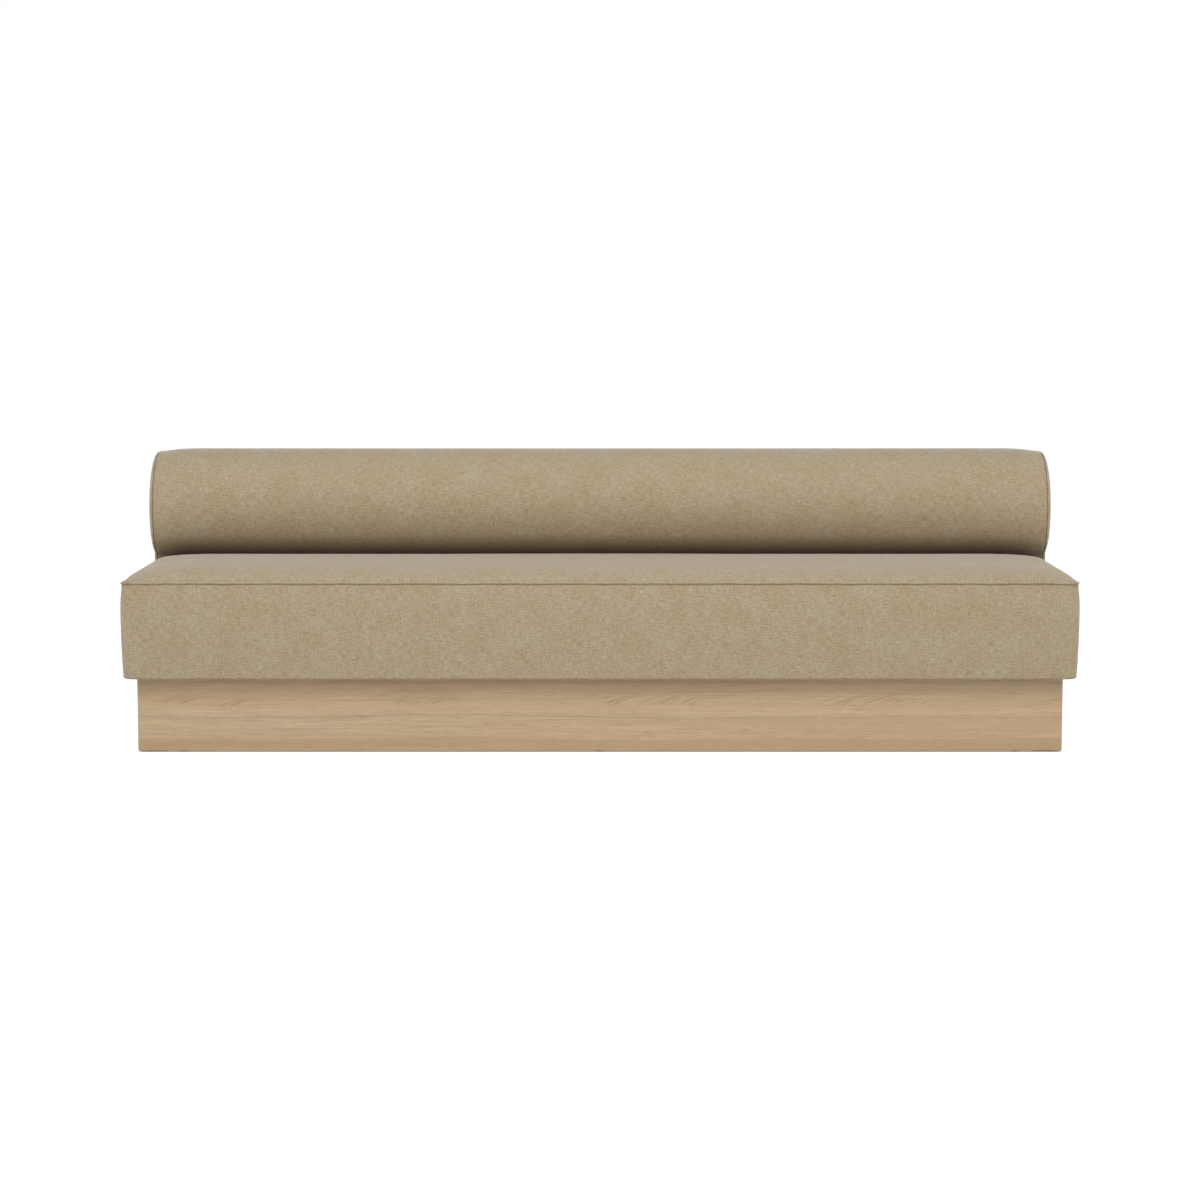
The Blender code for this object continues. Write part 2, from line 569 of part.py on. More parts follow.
def make_back_cover(group, cloth, dust_cloth):
    """The wrap over the roll, the domed end panels, and the dust cover. Returns the wrap and the dust cover."""
    front_hem, rear_hem = BACK_Y + HEM, REAR_Y - HEM
    inner_z = UPHOLSTERY_LOW + COVER
    outside = [(front_hem, UPHOLSTERY_LOW), *back_outline(0.0), (rear_hem, UPHOLSTERY_LOW)]
    inside = [(front_hem, inner_z), *back_outline(COVER), (rear_hem, inner_z)]
    shape = loft([section_ring(outside + inside[::-1], x) for x in (-BACK_SEAM_X, BACK_SEAM_X)])
    wrap = add_piece("back_cover", shape, cloth, group, smooth=True)
    rim = BACK_SEAM_X + CONTACT_GAP
    for side, sign in SIDES.items():
        outer_rings = [section_ring(back_outline(0.0), sign * rim)]
        inner_rings = [section_ring(back_outline(COVER), sign * rim)]
        for inset in [station * END_DOME_RUN for station in DOME_STATIONS]:
            outline, x = back_outline(inset), rim + end_dome(inset)
            outer_rings.append(section_ring(outline, sign * x))
            if end_dome(inset) > COVER and inset > COVER:
                inner_rings.append(section_ring(outline, sign * (x - COVER)))
        shape = loft(outer_rings[::-1] + inner_rings)
        add_piece(f"back_{side}_end_cover", shape, cloth, group, smooth=True)
    edge = HEM + HEM_CLEARANCE
    low, high = (-BACK_SEAM_X, BACK_Y + edge, UPHOLSTERY_LOW), (BACK_SEAM_X, REAR_Y - edge, inner_z)
    return wrap, add_box("back_dust_cover", low, high, dust_cloth, group)


def make_screws(group, steel):
    """Screws driven up through the stretchers into the seat and the back. Returns the cutter for their holes."""
    tip = FRAME_LOW + SCREW_BITE - STRETCHER_LOW
    head_top = -CONTACT_GAP
    profile = [
        (SCREW_HEAD_RADIUS, head_top - SCREW_HEAD),
        (SCREW_HEAD_RADIUS, head_top),
        (SCREW_RADIUS, head_top),
        (SCREW_RADIUS, tip),
    ]
    bore = SCREW_RADIUS + CONTACT_GAP
    holes = bmesh.new()
    for unit, y in (("seat", SEAT_MID_Y), ("back", BACK_SCREW_Y)):
        for side, x in CROSS_XS.items():
            centre = (x, y, STRETCHER_LOW)
            shape = turned(centre, (0, 0, 1), profile)
            add_piece(f"{unit}_fixing_screw_{side}", shape, steel, group, smooth=True)
            turn_into(holes, centre, (0, 0, 1), [(bore, -HOLE_OVERRUN), (bore, tip + HOLE_OVERRUN)])
    return add_cutter("fixing_screw_holes", holes, group)


def make_bolts(group, steel):
    """Flanged bolts that draw the back up to the seat. Returns the cutter for their holes."""
    rail_face = SEAT_FRAME_REAR - SEAT_RAIL
    flange_rear = rail_face - CONTACT_GAP
    flange_front = flange_rear - BOLT_FLANGE
    tip = POST_FRONT + BOLT_BITE
    profile = [
        (BOLT_HEAD_RADIUS, flange_front - BOLT_HEAD),
        (BOLT_HEAD_RADIUS, flange_front),
        (BOLT_FLANGE_RADIUS, flange_front),
        (BOLT_FLANGE_RADIUS, flange_rear),
        (BOLT_RADIUS, flange_rear),
        (BOLT_RADIUS, tip),
    ]
    bore = BOLT_RADIUS + BOLT_CLEARANCE
    holes = bmesh.new()
    for place, x in BOLT_XS.items():
        centre = (x, 0.0, BOLT_Z)
        add_piece(f"back_bolt_{place}", turned(centre, (0, 1, 0), profile), steel, group, smooth=True)
        turn_into(holes, centre, (0, 1, 0), [(bore, rail_face - HOLE_OVERRUN), (bore, tip + HOLE_OVERRUN)])
    return add_cutter("back_bolt_holes", holes, group)


def main():
    clear_scene()
    cloth = make_material("upholstery cloth", (0.41, 0.33, 0.22), 0.95)
    dust_cloth = make_material("dust cover cloth", (0.03, 0.03, 0.03), 0.9)
    foam = make_material("foam", (0.80, 0.72, 0.50), 0.9)
    wadding = make_material("wadding", (0.75, 0.74, 0.70), 0.95)
    webbing = make_material("elastic webbing", (0.10, 0.09, 0.08), 0.8)
    oak = make_material("oak veneer", (0.48, 0.35, 0.22), 0.55)
    timber = make_material("frame timber", (0.62, 0.45, 0.27), 0.7)
    ply = make_material("plywood", (0.66, 0.52, 0.34), 0.65)
    steel = make_material("zinc-plated steel", (0.60, 0.61, 0.62), 0.35, 1.0)
    nylon = make_material("nylon", (0.12, 0.11, 0.10), 0.5)

    plinth = make_group("plinth", Vector((0, 0, 0)))
    seat = make_group("seat_unit", Vector((0, SEAT_MID_Y, UPHOLSTERY_LOW)))
    back = make_group("back_unit", Vector((0, BACK_Y, UPHOLSTERY_LOW)))

    stretchers = make_plinth(plinth, oak, timber, nylon)
    rear_rail, cross_rails = make_seat_frame(seat, timber, webbing)
    make_seat_padding(seat, wadding, foam)
    border, seat_dust_cover = make_seat_cover(seat, cloth, dust_cloth)
    bottom_rail, front_board, spacer = make_back_frame(back, timber, ply)
    make_back_padding(back, foam)
    wrap, back_dust_cover = make_back_cover(back, cloth, dust_cloth)

    screw_holes = make_screws(plinth, steel)
    for piece in (*stretchers, *cross_rails, seat_dust_cover, bottom_rail, back_dust_cover):
        cut_holes(piece, screw_holes)
    bolt_holes = make_bolts(back, steel)
    for piece in (rear_rail, border, wrap, spacer, front_board, bottom_rail):
        cut_holes(piece, bolt_holes)


main()
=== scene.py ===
# %% [markdown]
# # Dressing a dining sofa
# The sofa is a long seat block and a back with a bolster-like roll, both covered in a heathered beige
# cloth, on a recessed oak plinth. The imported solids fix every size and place. This lesson keeps the rigid
# solids and gives them finishes, and makes the upholstery anew, because cloth over foam needs seams, a
# crown and a weave that plain solids don't have.

import json
import math

import bpy
import numpy as np
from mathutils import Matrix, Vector
from mathutils.kdtree import KDTree


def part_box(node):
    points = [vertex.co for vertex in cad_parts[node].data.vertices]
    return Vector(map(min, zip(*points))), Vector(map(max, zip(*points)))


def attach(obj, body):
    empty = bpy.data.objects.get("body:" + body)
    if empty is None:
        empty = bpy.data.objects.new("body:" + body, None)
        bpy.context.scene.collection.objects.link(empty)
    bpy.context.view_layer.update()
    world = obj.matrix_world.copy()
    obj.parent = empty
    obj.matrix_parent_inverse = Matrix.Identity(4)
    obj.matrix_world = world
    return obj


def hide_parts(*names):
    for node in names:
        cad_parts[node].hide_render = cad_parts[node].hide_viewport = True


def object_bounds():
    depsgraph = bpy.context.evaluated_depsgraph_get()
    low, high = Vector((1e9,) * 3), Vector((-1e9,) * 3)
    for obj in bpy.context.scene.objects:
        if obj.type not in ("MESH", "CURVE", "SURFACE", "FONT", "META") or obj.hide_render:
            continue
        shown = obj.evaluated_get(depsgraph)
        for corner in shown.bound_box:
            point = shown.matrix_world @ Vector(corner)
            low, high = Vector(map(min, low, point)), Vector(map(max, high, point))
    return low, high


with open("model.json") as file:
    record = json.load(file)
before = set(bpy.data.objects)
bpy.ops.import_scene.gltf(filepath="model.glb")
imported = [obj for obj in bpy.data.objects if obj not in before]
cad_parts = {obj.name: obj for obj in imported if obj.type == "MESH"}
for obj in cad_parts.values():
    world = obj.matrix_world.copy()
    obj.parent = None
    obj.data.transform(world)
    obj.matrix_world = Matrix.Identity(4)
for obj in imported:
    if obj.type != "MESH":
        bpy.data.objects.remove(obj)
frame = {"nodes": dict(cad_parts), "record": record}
nodes = frame["nodes"]
scene = bpy.context.scene
cad_low, cad_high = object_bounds()
print(f"{len(nodes)} solids, {cad_high.x - cad_low.x:.3f} m wide and {cad_high.z:.3f} m high")

# %% [markdown]
# ## The camera
# The photograph looks straight at the front from a little above the back, with a long lens, so the ends
# hardly show. The height and the tilt come from how far the seat's top is seen to spread between its
# front seam and the roll. A tilt is used and not a shift, because the sides of the plinth draw together a
# little downwards.

# %% Camera
CAMERA_DISTANCE = 6.731  # from the seat's front face
CAMERA_HEIGHT = 1.0855
CAMERA_TILT = math.radians(6.044)
CAMERA_LENS = 85.0  # on a 36 mm sensor

camera_data = bpy.data.cameras.new("camera")
camera_data.lens = CAMERA_LENS
camera_data.sensor_width = 36.0
camera = bpy.data.objects.new("camera", camera_data)
camera.location = (0.0, cad_low.y - CAMERA_DISTANCE, CAMERA_HEIGHT)
camera.rotation_euler = (math.pi / 2 - CAMERA_TILT, 0.0, 0.0)
scene.collection.objects.link(camera)
scene.camera = camera
print(f"camera {CAMERA_DISTANCE} m in front, {CAMERA_LENS} mm lens")

# %% [markdown]
# ## Meshes from rings
# Both cushions are closed forms that can be drawn as rings of points, each ring joined to the next by
# four-sided faces. Modelling by hand or remeshing would work too, but rings keep the faces in line with
# the cloth's threads, so that each corner of a face knows its place on the flat cloth. That place is kept
# in a UV map in metres.


# %% Mesh helpers
def eased_steps(count, ease):
    """Fractions from 0 to 1, closer together towards both ends."""
    even = np.linspace(0.0, 1.0, count + 1)
    return even - ease * np.sin(2 * np.pi * even) / (2 * np.pi)


def loop_strips(first, second, count):
    """Faces between two closed rings of count points that start at the given indices."""
    here = np.arange(count)
    after = (here + 1) % count
    return np.stack([first + here, first + after, second + after, second + here], axis=1)


def run_length(points):
    """Distance along a line of points, from its first point."""
    steps = np.linalg.norm(np.diff(points, axis=0), axis=1)
    return np.concatenate([[0.0], np.cumsum(steps)])


def make_cloth_piece(name, points, faces, places):
    """A smooth mesh object with its places on the flat cloth, one for each corner of each face."""
    mesh = bpy.data.meshes.new(name)
    mesh.from_pydata(points.tolist(), [], faces.tolist())
    mesh.uv_layers.new(name="cloth").data.foreach_set("uv", places.astype(np.float32).ravel())
    mesh.polygons.foreach_set("use_smooth", np.ones(len(faces), bool))
    piece = bpy.data.objects.new(name, mesh)
    scene.collection.objects.link(piece)
    print(f"{name}: {len(points)} points, {len(faces)} faces")
    return piece


def read_points(piece):
    """The piece's points as rows of x, y and z."""
    flat = np.zeros(len(piece.data.vertices) * 3, np.float32)
    piece.data.vertices.foreach_get("co", flat)
    return flat.reshape(-1, 3).astype(float)


def write_points(piece, points):
    """Moves the piece's points to the given rows."""
    piece.data.vertices.foreach_set("co", points.astype(np.float32).ravel())
    piece.data.update()


def add_subdivision(piece):
    """One smoothing level, which rounds the seams and the edges."""
    smoothing = piece.modifiers.new("smoothing", "SUBSURF")
    smoothing.levels = 1
    smoothing.render_levels = 1


# %% [markdown]
# ## The seat cushion in plan
# Seen from above, the seat is a long rectangle with small rounded corners. Each ring goes round it once.
# The rings have the same number of points on each side, and those points crowd towards the corners, where
# the form turns.

# %% Seat rings
SEAT_CORNER = 0.025
SEAT_STEPS_X = 140
SEAT_STEPS_Y = 36
STEP_EASE = 0.55
seat_low, seat_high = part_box("seat_cover_border")
SEAT_HALF_X = seat_high.x
SEAT_HALF_Y = (seat_high.y - seat_low.y) / 2
SEAT_MID_Y = (seat_high.y + seat_low.y) / 2
SEAM_Z = seat_high.z
LOOP_COUNT = 2 * (SEAT_STEPS_X + SEAT_STEPS_Y)
steps_x = eased_steps(SEAT_STEPS_X, STEP_EASE)
steps_y = eased_steps(SEAT_STEPS_Y, STEP_EASE)


def rounded_side(fractions, half_along, half_out, radius):
    """One side of a rounded rectangle, from the middle of one corner to the middle of the next."""
    quarter = radius * math.pi / 4
    straight = 2 * (half_along - radius)
    run = fractions * (straight + 2 * quarter)
    first_turn = np.clip(run / max(radius, 1e-9), 0, math.pi / 4) - math.pi / 4
    last_turn = np.clip((run - quarter - straight) / max(radius, 1e-9), 0, math.pi / 4)
    turn = first_turn + last_turn
    along = np.clip(run - quarter, 0, straight) - straight / 2 + radius * np.sin(turn)
    out = -(half_out - radius) - radius * np.cos(turn)
    return along, out


def seat_loop(inset, radius):
    """The seat's outline in plan, drawn in by inset, as columns x and y from the left front corner."""
    half_x, half_y = SEAT_HALF_X - inset, SEAT_HALF_Y - inset
    long_along, long_out = rounded_side(steps_x[:-1], half_x, half_y, radius)
    short_along, short_out = rounded_side(steps_y[:-1], half_y, half_x, radius)
    x = np.concatenate([long_along, -short_out, -long_along, short_out])
    y = np.concatenate([long_out, short_along, -long_out, -short_along])
    return np.stack([x, y + SEAT_MID_Y], axis=1)


fullest_loop = seat_loop(0.0, SEAT_CORNER)
round_run = run_length(np.vstack([fullest_loop, fullest_loop[:1]]))
corner_marks = np.cumsum([0, SEAT_STEPS_X, SEAT_STEPS_Y, SEAT_STEPS_X])
print(f"{LOOP_COUNT} points in each ring of the seat, {round_run[-1]:.3f} m round")

# %% [markdown]
# ## The seat's crown and sides
# Foam pushes the top up, most of it within a hand's width of the seam, so the crown rises fast and then
# levels out. The sides are fullest above their middle and are drawn in at the seam and at the lower edge,
# where the cloth is pulled under the frame and stapled. Both are written as simple curves, so that they
# can be tuned to the outline. The rear side is pressed flat against the back, so it isn't drawn in.

# %% Crown and sides
SEAT_CROWN = 0.0352  # before the cover swells
CROWN_RUN = 0.0335
CROWN_CORNER_SHARE = 0.8
CROWN_END_SHARE = 0.8  # the crown rises faster at the two ends
SIDE_DRAW = 0.0035
SIDE_PROUD = 0.0008  # how far the sides' fullest line stands proud of the solid
FULLEST_HEIGHT = 0.165
EDGE_RADIUS = 0.0055
HEM = 0.028
HEM_STEP = 0.0015  # from the hem's edge to the recess behind it
HEM_RECESS = 0.0021  # room for the dust sheet above the hem's underside
HEM_CORNER = 0.004
PRESS_START, PRESS_RUN = 0.075, 0.050  # where the pressing begins in front of the rear face, and its run
HALVINGS = 40


def side_draw(height):
    """How far the side stands in from its fullest line, at a height above the lower edge."""
    span = FULLEST_HEIGHT if height < FULLEST_HEIGHT else SEAM_Z - seat_low.z - FULLEST_HEIGHT
    return (SIDE_DRAW + SIDE_PROUD) * ((height - FULLEST_HEIGHT) / span) ** 2 - SIDE_PROUD


def press_rear(loop, draw):
    """A ring whose rear side is moved out by what it was drawn in."""
    share = np.clip((loop[:, 1] - (seat_high.y - PRESS_START)) / PRESS_RUN, 0, 1)
    return loop + np.stack([np.zeros(len(loop)), draw * share], axis=1)


def distance_from_seam(x, y):
    """How far in from the seam points on the top lie. The contours' corners grow rounder inwards."""
    half_x, half_y = SEAT_HALF_X - SIDE_DRAW, SEAT_HALF_Y - SIDE_DRAW
    near, far = np.zeros_like(x), np.full_like(x, half_y)
    for _ in range(HALVINGS):
        inset = (near + far) / 2
        radius = np.minimum(SEAT_CORNER + inset, CROWN_CORNER_SHARE * (half_y - inset))
        past_x = np.abs(x) - (half_x - CROWN_END_SHARE * inset - radius)
        past_y = np.abs(y - SEAT_MID_Y) - (half_y - inset - radius)
        rim = np.hypot(np.maximum(past_x, 0), np.maximum(past_y, 0))
        inside = rim + np.minimum(np.maximum(past_x, past_y), 0) < radius
        near, far = np.where(inside, inset, near), np.where(inside, far, inset)
    return (near + far) / 2


def crown_height(x, y):
    """The top's height over points in plan."""
    return SEAM_Z + SEAT_CROWN * (1 - np.exp(-distance_from_seam(x, y) / CROWN_RUN))


print(f"the crown rises {1000 * SEAT_CROWN:.1f} mm above the seam before the cover swells")


# %% [markdown]
# ## The seat's seam
# The top panel and the border are sewn face to face and turned, so the seam is a thin lip with a groove
# under it. Behind it the folded edge is stitched down once more, which leaves a faint second line on the
# top. Dark lines in the material would look the same from the front, but a real groove holds its shadow
# from any side. The lip and the groove are extra rings, written as pairs of outward and upward distances
# from the seam line. The line itself wanders a little, as sewing does, and the corners stick out, because
# the turned seam is thickest there.

# %% Seat profile
SEAM_PROFILE = (  # from the border up to the top panel
    (0.0010, -0.0130),
    (0.0009, -0.0080),
    (0.0006, -0.0048),
    (-0.0001, -0.0036),
    (-0.0018, -0.0029),
    (-0.0018, -0.0013),
    (-0.0004, -0.0005),
    (0.0011, 0.0008),
    (0.0009, 0.0022),
    (-0.0012, 0.0034),
)
STITCH_INSET = 0.0078
STITCH_DEPTH = 0.0024  # how far the line of topstitching is pulled in
TOP_INSETS = (0.0036, 0.0062, STITCH_INSET, 0.0094, 0.0125, 0.0165, 0.0230, 0.0310)
EDGE_TURNS = np.linspace(0.0, math.pi / 2, 6)
SIDE_TOP = 0.020  # from the side's last ring up to the seam
SIDE_HEIGHTS = np.linspace(EDGE_RADIUS, SEAM_Z - seat_low.z - SIDE_TOP, 14)[1:]
EAR_REACH, EAR_RUN, EAR_HEIGHT = 0.0026, 0.024, 0.004  # the pointed corners of the seam
EAR_SHARPER = 0.010  # how much smaller the corners' radius is there
SEAM_WAVE, WAVE_HEIGHT = 0.0004, 0.009
SEAM_WAVES = ((0.0134, 1.0, 0.0), (0.0083, 0.7, 1.1), (0.0291, 0.9, 2.3))  # length, share and start of each
SEAM_PRESS = 0.0020  # how far the seam is pressed towards the back
PRESS_FADE = 0.010


def seam_ring(out, up):
    """A ring beside the seam line, with the line's small waves and its pointed corners."""
    loop = seat_loop(SIDE_DRAW - out, SEAT_CORNER)
    pointed = seat_loop(SIDE_DRAW - out - EAR_REACH, SEAT_CORNER - EAR_SHARPER)
    away = np.linalg.norm(loop[:, None] - loop[corner_marks][None], axis=2).min(axis=1)
    ear = np.exp(-((away / EAR_RUN) ** 2)) * math.exp(-((up / EAR_HEIGHT) ** 2))
    run = round_run[:-1]
    wave = sum(share * np.sin(run / length + start) for length, share, start in SEAM_WAVES)
    wave *= SEAM_WAVE * math.exp(-((up / WAVE_HEIGHT) ** 2))
    return press_rear(loop + ear[:, None] * (pointed - loop), SEAM_PRESS), SEAM_Z + up + wave


seat_rings = []
foot = side_draw(EDGE_RADIUS)
for inset, rise in ((HEM + HEM_STEP, HEM_RECESS), (HEM, 0.0)):
    seat_rings.append((seat_loop(foot + inset, HEM_CORNER), seat_low.z + rise))
for turn in EDGE_TURNS:
    inset = foot + EDGE_RADIUS * (1 - math.sin(turn))
    loop = press_rear(seat_loop(inset, SEAT_CORNER), foot)
    seat_rings.append((loop, seat_low.z + EDGE_RADIUS * (1 - math.cos(turn))))
for height in SIDE_HEIGHTS:
    draw = side_draw(height)
    seat_rings.append((press_rear(seat_loop(draw, SEAT_CORNER), draw), seat_low.z + height))
for out, up in SEAM_PROFILE:
    seat_rings.append(seam_ring(out, up))
border_rings = len(seat_rings)
for inset in TOP_INSETS:
    loop = seat_loop(SIDE_DRAW + inset, max(SEAT_CORNER - inset, 0.0))
    dip = STITCH_DEPTH if inset == STITCH_INSET else 0.0
    pressed = press_rear(loop, SEAM_PRESS * math.exp(-inset / PRESS_FADE))
    seat_rings.append((pressed, crown_height(loop[:, 0], loop[:, 1]) - dip))
print(f"{border_rings} rings up to the seam, {len(TOP_INSETS)} more on the top")


# %% [markdown]
# ## Putting the seat together
# Inside the last ring the top is a plain grid, which keeps the weave straight from front to rear. The
# underside is closed by the same grid, lifted a little above the hem where the dust sheet goes.


# %% Seat mesh
def grid_over(first, start):
    """The faces of a grid inside the ring that starts at index first, with inner points from start on."""
    index = np.zeros((SEAT_STEPS_X + 1, SEAT_STEPS_Y + 1), int)
    ring = first + np.arange(LOOP_COUNT + 1) % LOOP_COUNT
    corner = np.cumsum([0, SEAT_STEPS_X, SEAT_STEPS_Y, SEAT_STEPS_X, SEAT_STEPS_Y])
    index[:, 0] = np.append(ring[corner[0]: corner[1]], ring[corner[1]])
    index[-1, :] = ring[corner[1]: corner[2] + 1]
    index[:, -1] = ring[corner[2]: corner[3] + 1][::-1]
    index[0, :] = ring[corner[3]: corner[4] + 1][::-1]
    inner = (SEAT_STEPS_X - 1) * (SEAT_STEPS_Y - 1)
    index[1:-1, 1:-1] = start + np.arange(inner).reshape(SEAT_STEPS_X - 1, SEAT_STEPS_Y - 1)
    faces = np.stack([index[:-1, :-1], index[1:, :-1], index[1:, 1:], index[:-1, 1:]], axis=2)
    return faces.reshape(-1, 4)


def grid_points(loop):
    """The grid's inner points in plan, inside a ring with sharp corners."""
    x = loop[:, 0].min() + np.ptp(loop[:, 0]) * steps_x[1:-1]
    y = loop[:, 1].min() + np.ptp(loop[:, 1]) * steps_y[1:-1]
    return np.stack(np.meshgrid(x, y, indexing="ij"), axis=2).reshape(-1, 2)


seat_points_by_ring = [
    np.column_stack([loop, np.broadcast_to(z, LOOP_COUNT)]) for loop, z in seat_rings
]
ring_count = len(seat_points_by_ring)
top_plan = grid_points(seat_rings[-1][0])
top_points = np.column_stack([top_plan, crown_height(top_plan[:, 0], top_plan[:, 1])])
under_plan = grid_points(seat_rings[0][0])
under_points = np.column_stack([under_plan, np.full(len(under_plan), seat_low.z + HEM_RECESS)])
seat_points = np.concatenate([*seat_points_by_ring, top_points, under_points])

strip_faces = [
    loop_strips(LOOP_COUNT * k, LOOP_COUNT * (k + 1), LOOP_COUNT) for k in range(ring_count - 1)
]
top_faces = grid_over(LOOP_COUNT * (ring_count - 1), LOOP_COUNT * ring_count)
under_faces = grid_over(0, LOOP_COUNT * ring_count + len(top_plan))[:, ::-1]

front_middle = SEAT_STEPS_X // 2
up_run = run_length(np.array([ring[front_middle, 1:] for ring in seat_points_by_ring[:border_rings]]))
TOP_CLOTH, UNDER_CLOTH = (0.0, 1.0), (0.0, 2.0)  # other places on the cloth than the border's
places = []
for k, faces in enumerate(strip_faces):
    if k < border_rings - 1:
        around = np.stack([round_run[:-1], round_run[1:], round_run[1:], round_run[:-1]], axis=1)
        around -= round_run[front_middle]
        upward = np.broadcast_to([up_run[k], up_run[k], up_run[k + 1], up_run[k + 1]], around.shape)
        places.append(np.stack([around, upward], axis=2))
    else:
        places.append(seat_points[faces][:, :, :2] + TOP_CLOTH)
places.append(seat_points[top_faces][:, :, :2] + TOP_CLOTH)
places.append(seat_points[under_faces][:, :, :2] + UNDER_CLOTH)
seat_faces = np.concatenate([*strip_faces, top_faces, under_faces])
seat_cushion = make_cloth_piece("seat_cushion", seat_points, seat_faces, np.concatenate(places))

# %% [markdown]
# ## The back in section
# The back is a straight panel whose top is a fat roll: the cloth comes up the neck behind the seat, turns
# out under the roll, round its nose and over the top, and drops straight down behind. The section is a
# chain of lines and arcs. Each point can be moved inwards by its own inset, which later draws the cloth
# in at the end seams.

# %% Back section
back_low, back_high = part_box("back_cover")
back_seam_x = back_high.x
ROLL_REACH = 0.080
ROLL_UPPER = 0.148
ROLL_LOWER = 0.1275
ROLL_TUCK = 0.025
ROLL_REAR = 0.085
NECK_Y = back_low.y + ROLL_REACH
REAR_Y = back_high.y
NOSE_Z = back_high.z - ROLL_UPPER
TOP_Y = back_low.y + ROLL_UPPER
REAR_TURN_Z = back_high.z - ROLL_REAR
BOTTOM_STEPS, EDGE_STEPS, NECK_STEPS, UNDER_STEPS = 9, 4, 17, 12
OVER_STEPS, TOP_STEPS, REAR_STEPS = 17, 12, 33
SECTION_STEPS = (
    BOTTOM_STEPS, EDGE_STEPS, NECK_STEPS, UNDER_STEPS, OVER_STEPS, TOP_STEPS, REAR_STEPS, EDGE_STEPS
)
SECTION_COUNT = sum(SECTION_STEPS)
BOTTOM_MARKS = (EDGE_RADIUS, HEM, HEM + HEM_STEP)  # lower edge, hem's edge, and the recess behind it


def arc_share(count):
    """Even fractions from 0, without the last one, which the next line or arc starts with."""
    return np.arange(count) / count


def back_section(inset):
    """The section as columns y and z, drawn in by one inset or by one for each point."""
    inset = np.broadcast_to(np.asarray(inset, float), (SECTION_COUNT,))
    pieces = np.split(inset, np.cumsum(SECTION_STEPS)[:-1])
    low_z = back_low.z
    depth = ROLL_REACH + ROLL_TUCK
    marks = np.array(BOTTOM_MARKS)
    middle = np.linspace(REAR_Y - marks[-1], NECK_Y + marks[-1], BOTTOM_STEPS - 3)
    bottom_y = np.concatenate([REAR_Y - marks[:-1], middle, [NECK_Y + marks[1]]])
    half_y, mid_y = (REAR_Y - NECK_Y) / 2, (REAR_Y + NECK_Y) / 2
    squeeze = np.clip(half_y - pieces[0] - EDGE_RADIUS, 0.001, None)
    squeeze = squeeze / (half_y - EDGE_RADIUS)
    bottom = np.stack([(bottom_y - mid_y) * squeeze + mid_y, low_z + pieces[0]])
    turn = arc_share(EDGE_STEPS) * math.pi / 2
    front_edge = np.stack([
        NECK_Y + pieces[1] + EDGE_RADIUS * (1 - np.sin(turn)),
        low_z + pieces[1] + EDGE_RADIUS * (1 - np.cos(turn)),
    ])
    tuck_turn = np.arccos((ROLL_TUCK - pieces[2]) / (depth - pieces[2]))
    crease_z = NOSE_Z - (ROLL_LOWER - pieces[2]) * np.sin(tuck_turn)
    foot_z = low_z + pieces[2] + EDGE_RADIUS
    neck = np.stack([NECK_Y + pieces[2], foot_z + (crease_z - foot_z) * arc_share(NECK_STEPS)])
    turn = np.arccos((ROLL_TUCK - pieces[3]) / (depth - pieces[3])) * (1 - arc_share(UNDER_STEPS))
    under = np.stack([
        NECK_Y + ROLL_TUCK - (depth - pieces[3]) * np.cos(turn),
        NOSE_Z - (ROLL_LOWER - pieces[3]) * np.sin(turn),
    ])
    turn = arc_share(OVER_STEPS) * math.pi / 2
    over = np.stack([
        TOP_Y - (ROLL_UPPER - pieces[4]) * np.cos(turn),
        NOSE_Z + (ROLL_UPPER - pieces[4]) * np.sin(turn),
    ])
    turn = arc_share(TOP_STEPS) * math.pi / 2
    behind = np.stack([
        TOP_Y + (REAR_Y - pieces[5] - TOP_Y) * np.sin(turn),
        REAR_TURN_Z + (ROLL_REAR - pieces[5]) * np.cos(turn),
    ])
    foot_z = low_z + pieces[6] + EDGE_RADIUS
    rear = np.stack([REAR_Y - pieces[6], REAR_TURN_Z + (foot_z - REAR_TURN_Z) * arc_share(REAR_STEPS)])
    turn = arc_share(EDGE_STEPS) * math.pi / 2
    rear_edge = np.stack([
        REAR_Y - pieces[7] - EDGE_RADIUS * (1 - np.cos(turn)),
        low_z + pieces[7] + EDGE_RADIUS * (1 - np.sin(turn)),
    ])
    return np.concatenate([bottom, front_edge, neck, under, over, behind, rear, rear_edge], axis=1).T


section_run = run_length(np.vstack([back_section(0.0), back_section(0.0)[:1]]))
print(f"{SECTION_COUNT} points round the section, {section_run[-1]:.3f} m of cloth")

# %% [markdown]
# ## The back's ends
# A panel is sewn on at each end and bulges a little over the foam behind it. The seam pulls the wrap in,
# so the roll's top line dips towards the ends, and it leaves a lip and a groove as on the seat. The wrap,
# the groove and the rounded rim of the panel are again rings, this time standing upright across the
# sofa's length.

